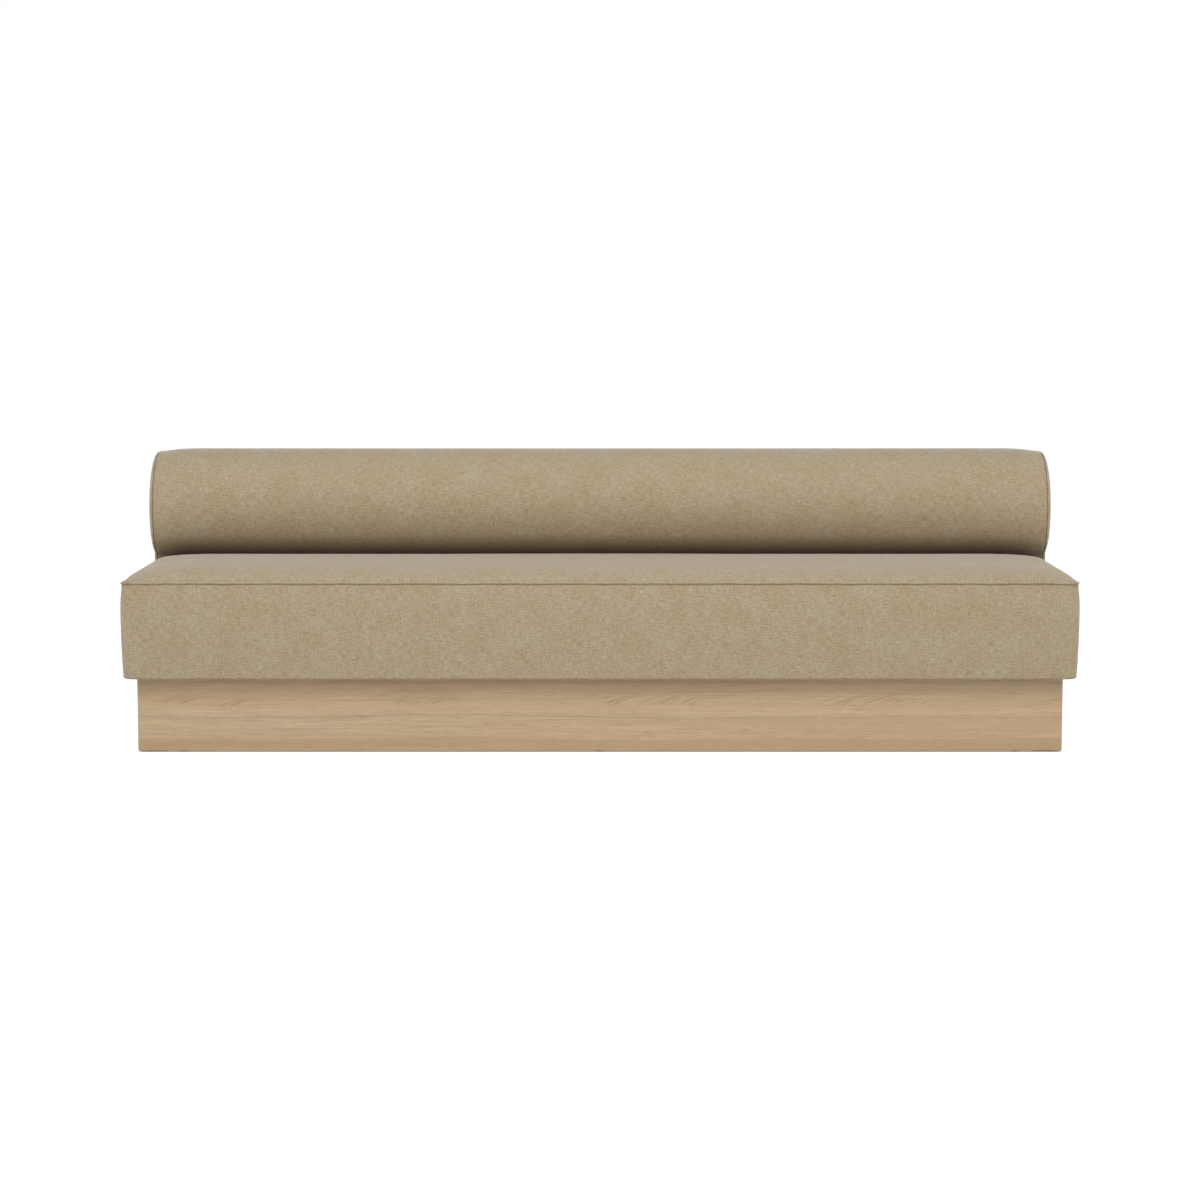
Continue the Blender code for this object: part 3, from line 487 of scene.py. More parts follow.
# %% Back rings
END_DOME = 0.0125
END_DOME_RUN = 0.030
END_DRAW = 0.0085  # how far the end seam pulls the roll in
END_DRAW_RUN, END_DRAW_POWER = 0.042, 1.6
BACK_STEPS, BACK_EASE = 120, 0.6
WRAP_MARGIN = 0.0075  # from the wrap's last ring to the end seam
END_SEAM = (  # along the sofa from the seam, and inward
    (-0.0060, 0.0000),
    (-0.0036, -0.0007),
    (-0.0020, -0.0004),
    (-0.0011, 0.0009),
    (-0.0006, 0.0036),
    (0.0011, 0.0038),
    (0.0018, 0.0016),
)
RIM_INSET = 0.0008
DOME_INSETS = (0.0004, 0.0012, 0.0025, 0.0045, 0.0075, 0.0115, 0.0170, 0.0230, 0.0300)
DRAW_SHARES = (  # for each line and arc of the section, how much of that pull reaches its start and its end
    (0.0, 0.0), (0.0, 0.0), (0.0, 0.3), (0.3, 0.9), (0.9, 1.0), (1.0, 0.15), (0.15, 0.05), (0.05, 0.0)
)
DRAW_SMOOTHINGS = 8

draw_weight = np.concatenate([
    first + (second - first) * arc_share(count)
    for (first, second), count in zip(DRAW_SHARES, SECTION_STEPS)
])
for _ in range(DRAW_SMOOTHINGS):
    draw_weight = (np.roll(draw_weight, 1) + 2 * draw_weight + np.roll(draw_weight, -1)) / 4


def end_draw(distance):
    """How far each point of the section is pulled in, at a distance from the end seam."""
    fade = math.exp(-((max(distance, 0.0) / END_DRAW_RUN) ** END_DRAW_POWER))
    return END_DRAW * draw_weight * fade


def end_rings(side):
    """Rings from the wrap's end over the seam to the flat of the end panel, for one side of the sofa."""
    rings = []
    for along, inward in END_SEAM:
        rings.append((side * (back_seam_x + along), end_draw(-along) + inward))
    rim = END_SEAM[-1][0]
    for inset in DOME_INSETS:
        share = 1 - inset / END_DOME_RUN
        reach = back_seam_x + rim + (END_DOME - rim) * math.sqrt(1 - share**2)
        rings.append((side * reach, end_draw(0.0) + RIM_INSET + inset))
    return rings


wrap_reach = back_seam_x - WRAP_MARGIN
wrap_x = (2 * eased_steps(BACK_STEPS, BACK_EASE) - 1) * wrap_reach
wrap_rings = [(x, end_draw(back_seam_x - abs(x))) for x in wrap_x]
back_rings = [*end_rings(-1)[::-1], *wrap_rings, *end_rings(1)]
print(f"{len(back_rings)} rings along the back")


# %% [markdown]
# ## Putting the back together
# The flat middle of each end panel is a four-sided patch between its bottom, front, top and rear edges,
# blended from those edges. The underside is lifted behind the hem, as on the seat, so that the dust sheet
# has its place.


# %% Back mesh
def patch_inside(ring, first, start):
    """Points and faces that fill a ring of the section, as a blend of its four sides."""
    across = BOTTOM_STEPS
    upward = (SECTION_COUNT - 2 * across) // 2
    order = first + np.arange(SECTION_COUNT + 1) % SECTION_COUNT
    closed = np.vstack([ring, ring[:1]])
    index = np.full((across + 1, upward + 1), first)
    index[::-1, 0] = order[: across + 1]
    index[0, :] = order[across: across + upward + 1]
    index[:, -1] = order[across + upward: 2 * across + upward + 1]
    index[-1, ::-1] = order[2 * across + upward:]
    edge = closed[index - first]
    u = np.linspace(0, 1, across + 1)[:, None, None]
    v = np.linspace(0, 1, upward + 1)[None, :, None]
    blend = (1 - v) * edge[:, :1] + v * edge[:, -1:] + (1 - u) * edge[:1] + u * edge[-1:]
    blend -= (1 - u) * ((1 - v) * edge[:1, :1] + v * edge[:1, -1:])
    blend -= u * ((1 - v) * edge[-1:, :1] + v * edge[-1:, -1:])
    inner = (across - 1) * (upward - 1)
    index[1:-1, 1:-1] = start + np.arange(inner).reshape(across - 1, upward - 1)
    faces = np.stack([index[:-1, :-1], index[1:, :-1], index[1:, 1:], index[:-1, 1:]], axis=2)
    return blend[1:-1, 1:-1].reshape(-1, 3), faces.reshape(-1, 4)


recess_x = back_seam_x - HEM
recess_points = np.arange(2, BOTTOM_STEPS - 1)
back_points = []
for x, inset in back_rings:
    ring = np.column_stack([np.full(SECTION_COUNT, x), back_section(inset)])
    if abs(x) < recess_x:
        ring[recess_points, 2] += HEM_RECESS
    back_points.append(ring)
back_count = len(back_points)
last = SECTION_COUNT * (back_count - 1)
left_inner, left_faces = patch_inside(back_points[0], 0, SECTION_COUNT * back_count)
right_start = SECTION_COUNT * back_count + len(left_inner)
right_inner, right_faces = patch_inside(back_points[-1], last, right_start)
back_points = np.concatenate([*back_points, left_inner, right_inner])

END_CLOTH = (3.0, 3.0)  # the end panels are cut from another place on the cloth

around = np.stack([section_run[:-1], section_run[1:], section_run[1:], section_run[:-1]], axis=1)
wrap_faces, wrap_places = [], []
for k in range(back_count - 1):
    faces = loop_strips(SECTION_COUNT * (k + 1), SECTION_COUNT * k, SECTION_COUNT)
    wrap_faces.append(faces)
    if min(k, back_count - 2 - k) < len(DOME_INSETS):
        wrap_places.append(back_points[faces][:, :, 1:] + END_CLOTH)
    else:
        wrap_places.append(np.stack([back_points[faces][:, :, 0], around], axis=2))
end_places = [back_points[faces][:, :, 1:] + END_CLOTH for faces in (left_faces, right_faces)]
all_faces = np.concatenate([*wrap_faces, left_faces[:, ::-1], right_faces])
all_places = np.concatenate([*wrap_places, end_places[0][:, ::-1], end_places[1]])
back_bolster = make_cloth_piece("back_bolster", back_points, all_faces, all_places)

# %% [markdown]
# ## Letting the cloth swell
# A sewn cover is pulled on over foam that is a little too big for it, so the panels swell between the
# seams that hold them. The cloth solver does this well: pressure from inside, no gravity, and the sewn,
# stapled and pressed points held. The solver wants faces of one size, and the rings are crowded at the
# seams. So an even copy of the cushion is blown up, and each point of the cushion takes the move of the
# copy's points round it, scaled so that the swelling stays within what foam of this firmness shows.

# %% Swelling
EVEN_FACE = 0.012
SWELL_FRAMES = 20
NEIGHBOURS = 8


def even_copy(piece):
    """A copy of the piece with faces of one size all over."""
    remesh = piece.modifiers.new("even", "REMESH")
    remesh.mode = "VOXEL"
    remesh.voxel_size = EVEN_FACE
    evaluated = piece.evaluated_get(bpy.context.evaluated_depsgraph_get())
    copy = bpy.data.objects.new(piece.name + "_even", bpy.data.meshes.new_from_object(evaluated))
    piece.modifiers.remove(remesh)
    scene.collection.objects.link(copy)
    return copy


def tree_of(points):
    """A search tree over rows of points."""
    tree = KDTree(len(points))
    for number, point in enumerate(points):
        tree.insert(point, number)
    tree.balance()
    return tree


def blow_up(copy, held, pressure):
    """Blows a mesh up like cloth, with some points held. Returns the points before, and their moves."""
    before = read_points(copy)
    group = copy.vertex_groups.new(name="held")
    group.add(np.flatnonzero(held).tolist(), 1.0, "REPLACE")
    cloth = copy.modifiers.new("swelling", "CLOTH")
    cloth.settings.quality = 5
    cloth.settings.use_pressure = True
    cloth.settings.uniform_pressure_force = pressure
    cloth.settings.vertex_group_mass = group.name
    cloth.settings.effector_weights.gravity = 0.0
    cloth.collision_settings.use_collision = False
    cloth.point_cache.frame_start, cloth.point_cache.frame_end = 1, SWELL_FRAMES
    for number in range(1, SWELL_FRAMES + 1):
        scene.frame_set(number)
    move = read_points(copy.evaluated_get(bpy.context.evaluated_depsgraph_get())) - before
    scene.frame_set(1)
    return before, move


def swell(piece, held, pressure, cap):
    """Swells a cushion's free points as cloth would, and writes the result into its mesh."""
    points = read_points(piece)
    copy = even_copy(piece)
    nearest = tree_of(points)
    copy_held = np.array([held[nearest.find(point)[1]] for point in read_points(copy)])
    before, move = blow_up(copy, copy_held, pressure)
    bpy.data.meshes.remove(copy.data)
    length = np.linalg.norm(move, axis=1)
    move *= cap / max(np.quantile(length, 0.98), cap)
    around = tree_of(before)
    for number in np.flatnonzero(~held):
        found = around.find_n(points[number], NEIGHBOURS)
        weight = np.array([1.0 / (distance + 0.3 * EVEN_FACE) ** 2 for _, _, distance in found])
        points[number] += weight @ move[[index for _, index, _ in found]] / weight.sum()
    write_points(piece, points)
    print(f"{piece.name} swells {1000 * cap:.1f} mm, scaled from {1000 * length.max():.1f} mm")


# %% What the seams and the frame hold
REAR_HELD = 0.020  # depth of the part that the back holds
SEAT_PRESSURE, SEAT_SWELL = 2.0, 0.003
BACK_PRESSURE, BACK_SWELL = 0.3, 0.002

seat_ring_of = np.concatenate([
    np.repeat(np.arange(ring_count), LOOP_COUNT),
    np.full(len(top_plan), ring_count),
    np.full(len(under_plan), -1),
])
seat_held = seat_ring_of < 2 + len(EDGE_TURNS)
seat_held |= (seat_ring_of >= border_rings - len(SEAM_PROFILE)) & (seat_ring_of < border_rings)
seat_held |= (seat_points[:, 1] > seat_high.y - REAR_HELD) & (seat_points[:, 2] < SEAM_Z)
back_order = np.arange(SECTION_COUNT * back_count)
back_place = back_order % SECTION_COUNT
back_end = np.minimum(back_order // SECTION_COUNT, back_count - 1 - back_order // SECTION_COUNT)
fixed_run = sum(SECTION_STEPS[:3])
back_held = (back_place <= fixed_run) | (back_place > SECTION_COUNT - EDGE_STEPS - REAR_STEPS)
back_held |= (back_end >= len(DOME_INSETS)) & (back_end < len(DOME_INSETS) + len(END_SEAM))
back_held = np.concatenate([back_held, np.zeros(len(left_inner) + len(right_inner), bool)])
print(f"{seat_held.sum()} points of the seat and {back_held.sum()} of the back are held")
swell(seat_cushion, seat_held, SEAT_PRESSURE, SEAT_SWELL)
swell(back_bolster, back_held, BACK_PRESSURE, BACK_SWELL)

# %% [markdown]
# ## Dust sheets
# Underneath, a thin black sheet is stapled inside each hem, to keep the dust of the foam in. Each is a
# plain grid in the recess behind the hem that sags a little between its staples.

# %% Dust sheets
SHEET_THICKNESS = 0.0008
SHEET_SAG = 0.0004
SHEET_MARGIN = 0.0010
SHEET_LIFT = 0.0011  # from the solid's underside to the sheet's middle
SHEET_POINTS = (65, 17)


def make_dust_sheet(name, node, low_x, high_x, low_y, high_y):
    """A thin stretched sheet under a cushion, in place of its solid."""
    u, v = np.meshgrid(*(np.linspace(0.0, 1.0, count) for count in SHEET_POINTS), indexing="ij")
    sag = SHEET_SAG * (np.sin(np.pi * u) * np.sin(np.pi * v)) ** 0.5
    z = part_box(node)[0].z + SHEET_LIFT - sag
    points = np.stack([low_x + (high_x - low_x) * u, low_y + (high_y - low_y) * v, z], axis=2)
    points = points.reshape(-1, 3)
    index = np.arange(len(points)).reshape(SHEET_POINTS)
    faces = np.stack([index[:-1, :-1], index[:-1, 1:], index[1:, 1:], index[1:, :-1]], axis=2)
    faces = faces.reshape(-1, 4)
    sheet = make_cloth_piece(name, points, faces, points[faces][:, :, :2])
    body = sheet.modifiers.new("thickness", "SOLIDIFY")
    body.thickness = SHEET_THICKNESS
    body.offset = 0.0
    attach(sheet, "root")
    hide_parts(node)
    return sheet


seat_recess = seat_rings[0][0]
recess_low, recess_high = seat_recess.min(axis=0) + SHEET_MARGIN, seat_recess.max(axis=0) - SHEET_MARGIN
seat_dust_sheet = make_dust_sheet(
    "seat_dust_sheet", "seat_dust_cover", recess_low[0], recess_high[0], recess_low[1], recess_high[1]
)
back_recess = back_section(0.0)[recess_points, 0]
back_dust_sheet = make_dust_sheet(
    "back_dust_sheet", "back_dust_cover", SHEET_MARGIN - recess_x, recess_x - SHEET_MARGIN,
    back_recess.min() + SHEET_MARGIN, back_recess.max() - SHEET_MARGIN,
)

# %% [markdown]
# ## Which piece stands for which solid
# A cushion here is its cover together with what fills it, so it takes the place of the covers, the foam
# and the wadding. The timber frame inside keeps its solids.

# %% Cushions take their places
for cushion in (seat_cushion, back_bolster):
    add_subdivision(cushion)
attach(seat_cushion, "root")
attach(back_bolster, "root")
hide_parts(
    "seat_cover_top", "seat_cover_border", "seat_comfort_foam", "seat_base_foam",
    "seat_front_padding", "seat_left_padding", "seat_right_padding",
)
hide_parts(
    "back_cover", "back_left_end_cover", "back_right_end_cover", "back_roll_foam",
    "back_neck_padding", "back_left_end_pad", "back_right_end_pad",
)
print("two cushions stand for fourteen solids")

# %% [markdown]
# ## Small words for shader nodes
# Materials are trees of nodes. A few short helpers place a node, set what is constant on it and link what
# changes, so that each finish below reads as a list of steps.


# %% Node helpers
def add_node(tree, kind, inputs=None, **settings):
    """A node with its settings and its inputs, each a number, a colour or another node's output."""
    made = tree.nodes.new(kind)
    for key, value in settings.items():
        setattr(made, key, value)
    for key, value in (inputs or {}).items():
        if isinstance(value, bpy.types.NodeSocket):
            tree.links.new(value, made.inputs[key])
        else:
            made.inputs[key].default_value = value
    return made


def add_math(tree, operation, *values):
    """The result of one sum on numbers or outputs."""
    inputs = dict(enumerate(values))
    return add_node(tree, "ShaderNodeMath", inputs, operation=operation).outputs[0]


def add_noise(tree, place, scale, detail=2.0, roughness=0.5):
    """A soft random value from 0 to 1 over the surface."""
    inputs = {"Vector": place, "Scale": scale, "Detail": detail, "Roughness": roughness}
    return add_node(tree, "ShaderNodeTexNoise", inputs).outputs["Fac"]


def stretch(tree, place, scale):
    """A place scaled along each axis."""
    inputs = {0: place, 1: scale}
    return add_node(tree, "ShaderNodeVectorMath", inputs, operation="MULTIPLY").outputs[0]


def add_place(tree, x, y, z=0.0):
    """A place from its three parts."""
    return add_node(tree, "ShaderNodeCombineXYZ", {0: x, 1: y, 2: z}).outputs[0]


def add_range(tree, value, from_ends=(0.0, 1.0), to_ends=(0.0, 1.0)):
    """A value moved from one range to another, and held inside it."""
    inputs = {"Value": value, "From Min": from_ends[0], "From Max": from_ends[1]}
    inputs |= {"To Min": to_ends[0], "To Max": to_ends[1]}
    return add_node(tree, "ShaderNodeMapRange", inputs).outputs[0]


def centred(tree, value, share):
    """A value's distance from 0.5, times a share."""
    return add_math(tree, "MULTIPLY", add_math(tree, "SUBTRACT", value, 0.5), share)


def new_group(name, inputs, outputs):
    """An empty node group with named sockets, and its input and output nodes."""
    tree = bpy.data.node_groups.new(name, "ShaderNodeTree")
    for label, kind, value in inputs:
        socket = tree.interface.new_socket(label, in_out="INPUT", socket_type=kind)
        if value is not None:
            socket.default_value = value
    for label, kind in outputs:
        tree.interface.new_socket(label, in_out="OUTPUT", socket_type=kind)
    return tree, tree.nodes.new("NodeGroupInput").outputs, tree.nodes.new("NodeGroupOutput").inputs


def new_material(name):
    """A material with its tree and its main shader."""
    material = bpy.data.materials.new(name)
    material.use_nodes = True
    return material, material.node_tree, material.node_tree.nodes["Principled BSDF"]


def mix_colours(tree, share, first, second):
    """A blend of two colours, by a share from 0 for the first to 1 for the second."""
    inputs = {0: share, 6: first, 7: second}
    return add_node(tree, "ShaderNodeMix", inputs, data_type="RGBA").outputs[2]


def set_roughness(tree, shader, value, ends):
    """Lets the shader's roughness follow a value, between two ends."""
    tree.links.new(add_range(tree, value, to_ends=ends), shader.inputs["Roughness"])


def set_bump(tree, shader, height, strength, distance):
    """Lets the shader's surface rise and fall with a height."""
    inputs = {"Height": height, "Strength": strength, "Distance": distance}
    tree.links.new(add_node(tree, "ShaderNodeBump", inputs).outputs[0], shader.inputs["Normal"])


# %% [markdown]
# ## A woven cloth
# The cover is a fine twill of heathered yarn: each thread is spun from lighter and darker fibres, so its
# tone drifts along its length, and threads pass over and under each other in a slanting order. An image
# would be the usual way. Here the threads are counted from the cloth's own place in metres, so the weave
# has one true size everywhere. The same group serves the webbing and the dust sheets with other thread
# widths.

# %% Weave group
TWILL_STEP = 4  # threads until the slanting order starts again

weave, given, result = new_group(
    "weave",
    [("Place", "NodeSocketVector", None), ("Thread", "NodeSocketFloat", 0.001),
     ("Yarn Drift", "NodeSocketFloat", 0.5), ("Cloud", "NodeSocketFloat", 0.3)],
    [("Tone", "NodeSocketFloat"), ("Heather", "NodeSocketFloat"), ("Height", "NodeSocketFloat")],
)
per_metre = add_math(weave, "DIVIDE", 1.0, given["Thread"])
counted = add_node(
    weave, "ShaderNodeVectorMath", {0: given["Place"], "Scale": per_metre}, operation="SCALE"
).outputs[0]
axes = add_node(weave, "ShaderNodeSeparateXYZ", {0: counted}).outputs
warp_number, weft_number = (add_math(weave, "FLOOR", axes[k]) for k in range(2))
warp_across, weft_across = (add_math(weave, "FRACT", axes[k]) for k in range(2))
thread_sum = add_math(weave, "ADD", warp_number, weft_number)
slant = add_math(weave, "FRACT", add_math(weave, "MULTIPLY", thread_sum, 1 / TWILL_STEP))
weft_on_top = add_math(weave, "LESS_THAN", slant, 0.5)
warp_round = add_math(weave, "SINE", add_math(weave, "MULTIPLY", warp_across, math.pi))
weft_round = add_math(weave, "SINE", add_math(weave, "MULTIPLY", weft_across, math.pi))
print(f"threads and their order: {len(weave.nodes)} nodes")

# %% [markdown]
# ## The yarn's tones
# A thread's tone is a noise that is drawn out along the thread, with a place of its own for each thread
# number. To that come single fibres, slubs, which are thicker stretches of yarn, the step between warp
# and weft, and clouds a hand wide where the dyed yarn was mixed less evenly. Each has its share of the
# tone.


# %% Yarn tones
THREAD_STEP = 0.73  # between neighbouring threads in the noise
WARP_DRIFT, WEFT_DRIFT = 0.10, 0.08
WEFT_PLACE = 40.0  # so that weft and warp don't share their tones
CLOUD_SCALE = 13.0


def pick(first, second):
    """The first value where the warp is on top and the second where the weft is."""
    inputs = {"Factor": weft_on_top, "A": first, "B": second}
    return add_node(weave, "ShaderNodeMix", inputs).outputs[0]


warp_along = add_place(
    weave,
    add_math(weave, "MULTIPLY", warp_number, THREAD_STEP),
    add_math(weave, "MULTIPLY", axes[1], WARP_DRIFT),
)
weft_along = add_place(
    weave,
    add_math(weave, "MULTIPLY", axes[0], WEFT_DRIFT),
    add_math(weave, "MULTIPLY", weft_number, THREAD_STEP),
    WEFT_PLACE,
)
yarn = pick(add_noise(weave, warp_along, 1.0), add_noise(weave, weft_along, 1.0))
fibre = add_noise(weave, counted, 0.70, 3.0, 0.7)
weft_slub = add_noise(weave, stretch(weave, counted, (0.13, 0.95, 1.0)), 1.0, 3.0, 0.6)
warp_slub = add_noise(weave, stretch(weave, counted, (0.95, 0.16, 1.0)), 1.0, 3.0, 0.6)
cloud = add_noise(weave, given["Place"], CLOUD_SCALE, 3.0, 0.55)

tone = add_math(
    weave, "ADD", centred(weave, yarn, given["Yarn Drift"]), centred(weave, cloud, given["Cloud"])
)
for part, share in ((fibre, 1.30), (weft_slub, 0.80), (warp_slub, 0.50), (weft_on_top, 0.13)):
    tone = add_math(weave, "ADD", tone, centred(weave, part, share))
weave.links.new(add_math(weave, "ADD", tone, 0.5), result["Tone"])
heather = add_math(weave, "ADD", centred(weave, cloud, 0.9), centred(weave, weft_slub, 1.3))
weave.links.new(add_math(weave, "ADD", heather, 0.5), result["Heather"])
thread_height = add_math(weave, "MULTIPLY", pick(warp_round, weft_round), 0.7)
fibre_height = add_math(weave, "MULTIPLY", fibre, 0.6)
weave.links.new(add_math(weave, "ADD", thread_height, fibre_height), result["Height"])
print(f"weave: {len(weave.nodes)} nodes")


# %% [markdown]
# ## Upholstery, webbing and dust cloth
# The three cloths differ in thread, colour and sheen. The upholstery has a faint sheen, because loose
# fibre ends catch the light where the seat's top is seen at a low angle and turn it greyer there. Where
# other cloth is close, as in creases and on the roll's underside near the seat, the upholstery's colour is
# darkened towards a dark brown: this is painted shade, on top of the shade that the lamps cast.


# %% Cloth finishes
# Painted shade: within this reach of other surfaces, the upholstery's colour is drawn towards this dark
# brown.
PAINTED_SHADE_REACH = 0.050
PAINTED_SHADE_COLOUR = (0.055, 0.024, 0.0, 1.0)


def make_cloth(name, dark, light, grey, thread, drift, cloud, place, bump, sheen, roughness, painted_crease_shade=1.0):
    """A cloth of dark and light yarn, greyer here and there, whose colour may be darkened by painted shade in
    creases.
    """
    material, tree, shader = new_material(name)
    where = add_node(tree, "ShaderNodeTexCoord").outputs[place]
    cloth = add_node(tree, "ShaderNodeGroup", node_tree=weave)
    tree.links.new(where, cloth.inputs["Place"])
    for label, value in (("Thread", thread), ("Yarn Drift", drift), ("Cloud", cloud)):
        cloth.inputs[label].default_value = value
    light_yarn = mix_colours(tree, cloth.outputs["Heather"], (*light, 1.0), (*grey, 1.0))
    colour = mix_colours(tree, cloth.outputs["Tone"], (*dark, 1.0), light_yarn)
    # Painted shade: an occlusion node darkens the colour where other surfaces are close.
    if painted_crease_shade < 1.0:
        crease_occlusion = add_node(tree, "ShaderNodeAmbientOcclusion", {"Distance": PAINTED_SHADE_REACH}, samples=6)
        kept = add_range(tree, crease_occlusion.outputs["AO"], to_ends=(painted_crease_shade, 1.0))
        colour = mix_colours(tree, kept, PAINTED_SHADE_COLOUR, colour)
    tree.links.new(colour, shader.inputs["Base Color"])
    set_roughness(tree, shader, cloth.outputs["Height"], (roughness, roughness - 0.1))
    set_bump(tree, shader, cloth.outputs["Height"], bump, thread * 0.4)
    shader.inputs["Specular IOR Level"].default_value = 0.2
    shader.inputs["Sheen Weight"].default_value = sheen
    shader.inputs["Sheen Roughness"].default_value = 0.45
    return material


# The last number sets the painted shade in the upholstery's creases: at its deepest, 0.32 of the cloth's
# colour is left.
upholstery_cloth = make_cloth(
    "upholstery_cloth", (0.250, 0.182, 0.092), (0.595, 0.476, 0.278), (0.585, 0.503, 0.405),
    thread=0.0018, drift=1.3, cloud=0.22, place="UV", bump=0.45, sheen=0.36, roughness=0.92, painted_crease_shade=0.32,
)
webbing_cloth = make_cloth(
    "webbing_cloth", (0.05, 0.045, 0.04), (0.16, 0.145, 0.13), (0.15, 0.145, 0.14),
    thread=0.0016, drift=0.8, cloud=0.2, place="Object", bump=0.6, sheen=0.0, roughness=0.85,
)
dust_cloth = make_cloth(
    "dust_cloth", (0.015, 0.015, 0.016), (0.05, 0.05, 0.052), (0.05, 0.05, 0.05),
    thread=0.0008, drift=0.4, cloud=0.5, place="Object", bump=0.5, sheen=0.0, roughness=0.95,
)
print(f"cloths: {upholstery_cloth.name}, {webbing_cloth.name} and {dust_cloth.name}")

# %% [markdown]
# ## Wood grain
# The plinth is faced in pale oak with the grain running along each panel: bands of early and late wood
# that wander a little, fine fibres, short dark pores, and slanting strokes where the cut crosses a growth
# ring. The bands follow the height on the panel, because one veneer leaf runs right along it; the rest
# are noises that are drawn out along the grain. The paler wood at the top of the panel, just under the
# seat's overhang, is painted light that lifts the shade the seat casts there. The same group, without
# bands and strokes, makes the pine frame and the birch boards inside.

# %% Bands of the grain
# Painted light: the stops from 0.78 of the height up, palest at the top, lift the shade under the seat's
# overhang.
BAND_TONES_AND_PAINTED_LIGHT = (  # share of the panel's height, and how pale the wood is there
    (0.00, 0.40), (0.08, 0.34), (0.165, 0.36), (0.19, 0.60), (0.30, 0.57), (0.38, 0.66), (0.455, 0.56),
    (0.475, 0.34), (0.50, 0.55), (0.57, 0.70), (0.63, 0.62), (0.69, 0.53), (0.78, 0.58), (0.90, 0.74),
)
BAND_WANDER = 0.030
PANEL_TOP = 0.180

grain, given, result = new_group(
    "grain",
    [("Place", "NodeSocketVector", None), ("Bands", "NodeSocketFloat", 0.0),
     ("Pores", "NodeSocketFloat", 0.5)],
    [("Tone", "NodeSocketFloat"), ("Streak", "NodeSocketFloat"), ("Height", "NodeSocketFloat")],
)


def drawn_out(scale, detail=2.0, roughness=0.5):
    """A noise that is longer along the grain, by the scale of each axis."""
    return add_noise(grain, stretch(grain, given["Place"], scale), 1.0, detail, roughness)


def ramp_over(share, stops):
    """A value that follows a list of places and heights."""
    made = add_node(grain, "ShaderNodeValToRGB", {0: share})
    stop_list = made.color_ramp.elements
    for number, (place, value) in enumerate(stops):
        stop = stop_list[number] if number < 2 else stop_list.new(place)
        stop.position, stop.color = place, (value, value, value, 1.0)
    return made.outputs[0]


axes = add_node(grain, "ShaderNodeSeparateXYZ", {0: given["Place"]}).outputs
wander = centred(grain, drawn_out((1.7, 6.0, 6.0), 3.0), BAND_WANDER)
wandering = add_math(grain, "ADD", axes[2], wander)
panel_share = add_math(grain, "DIVIDE", wandering, PANEL_TOP)
# These tones carry both the grain's bands and the painted light at the top of the panel.
band_and_light_tone = centred(grain, ramp_over(panel_share, BAND_TONES_AND_PAINTED_LIGHT), 1.0)
bands = add_math(grain, "MULTIPLY", band_and_light_tone, given["Bands"])
print(f"bands of early and late wood: {len(BAND_TONES_AND_PAINTED_LIGHT)} tones over {PANEL_TOP} m")

# %% [markdown]
# ## Slanting strokes
# The strokes stand in clusters on one band of the panel. Each rises at a slant and leans over further the
# higher it climbs. So the place along the panel is moved back by a curve of the height, and a noise that
# is very narrow along the panel then draws curved strokes. A slow wave along the panel says where the
# clusters are.

# %% Strokes of the grain
STROKE_ZONE = ((0.62, 0.0), (0.66, 1.0), (0.72, 0.8), (0.80, 0.35), (0.88, 0.0))
STROKE_FOOT, STROKE_RISE = 0.113, 0.036  # height where the strokes start, and how far they rise
STROKE_SWEEP, STROKE_LEAN = 0.090, 0.035
STROKE_COUNT = 95.0  # how narrow they are: spans of the noise per metre
CLUSTER_TURN = 11.4  # of the slow wave, in radians per metre

climb = add_math(grain, "DIVIDE", add_math(grain, "SUBTRACT", wandering, STROKE_FOOT), STROKE_RISE)
climbed = add_math(grain, "POWER", add_math(grain, "MAXIMUM", climb, 0.0), 2.0)
sweep = add_math(grain, "MULTIPLY", climbed, STROKE_SWEEP)
lean = add_math(grain, "MULTIPLY", climb, STROKE_LEAN)
across = add_math(grain, "SUBTRACT", axes[0], add_math(grain, "ADD", sweep, lean))
stroke_place = add_place(
    grain, add_math(grain, "MULTIPLY", across, STROKE_COUNT), axes[1], add_math(grain, "MULTIPLY", climb, 0.9)
)
strokes = add_range(grain, add_noise(grain, stroke_place, 1.0, 1.0), (0.54, 0.70))
uneven = centred(grain, drawn_out((2.6, 4.0, 4.0)), 3.0)
turn = add_math(grain, "ADD", add_math(grain, "MULTIPLY", axes[0], CLUSTER_TURN), uneven)
clusters = add_range(grain, add_math(grain, "SINE", turn), (-0.3, 0.6))
for share in (clusters, given["Bands"], ramp_over(panel_share, STROKE_ZONE)):
    strokes = add_math(grain, "MULTIPLY", strokes, share)
print(f"strokes from {STROKE_FOOT} m up, {len(grain.nodes)} nodes so far")

# %% [markdown]
# ## Fibres, pores and redder wood
# Fibres and pores are fine noises that are drawn out along the grain. The pores are cut from theirs by a
# threshold, so they stay short and dark. Some of the wood is redder: the foot of the panel, the zone of
# the strokes, and long streaks in between. The redder wood at the very top of the panel, under the seat's
# overhang, is painted light: it warms and lifts the shade that the seat casts there.

# %% Fibres, pores and streaks
# Painted light: the stops from 0.80 of the height up make the top of the panel redder, warming the shade
# under the seat.
REDDER_WOOD_AND_PAINTED_WARMTH = ((0.0, 1.0), (0.165, 1.0), (0.19, 0.0), (0.62, 0.0), (0.70, 0.5), (0.80, 0.4), (1.00, 0.6))

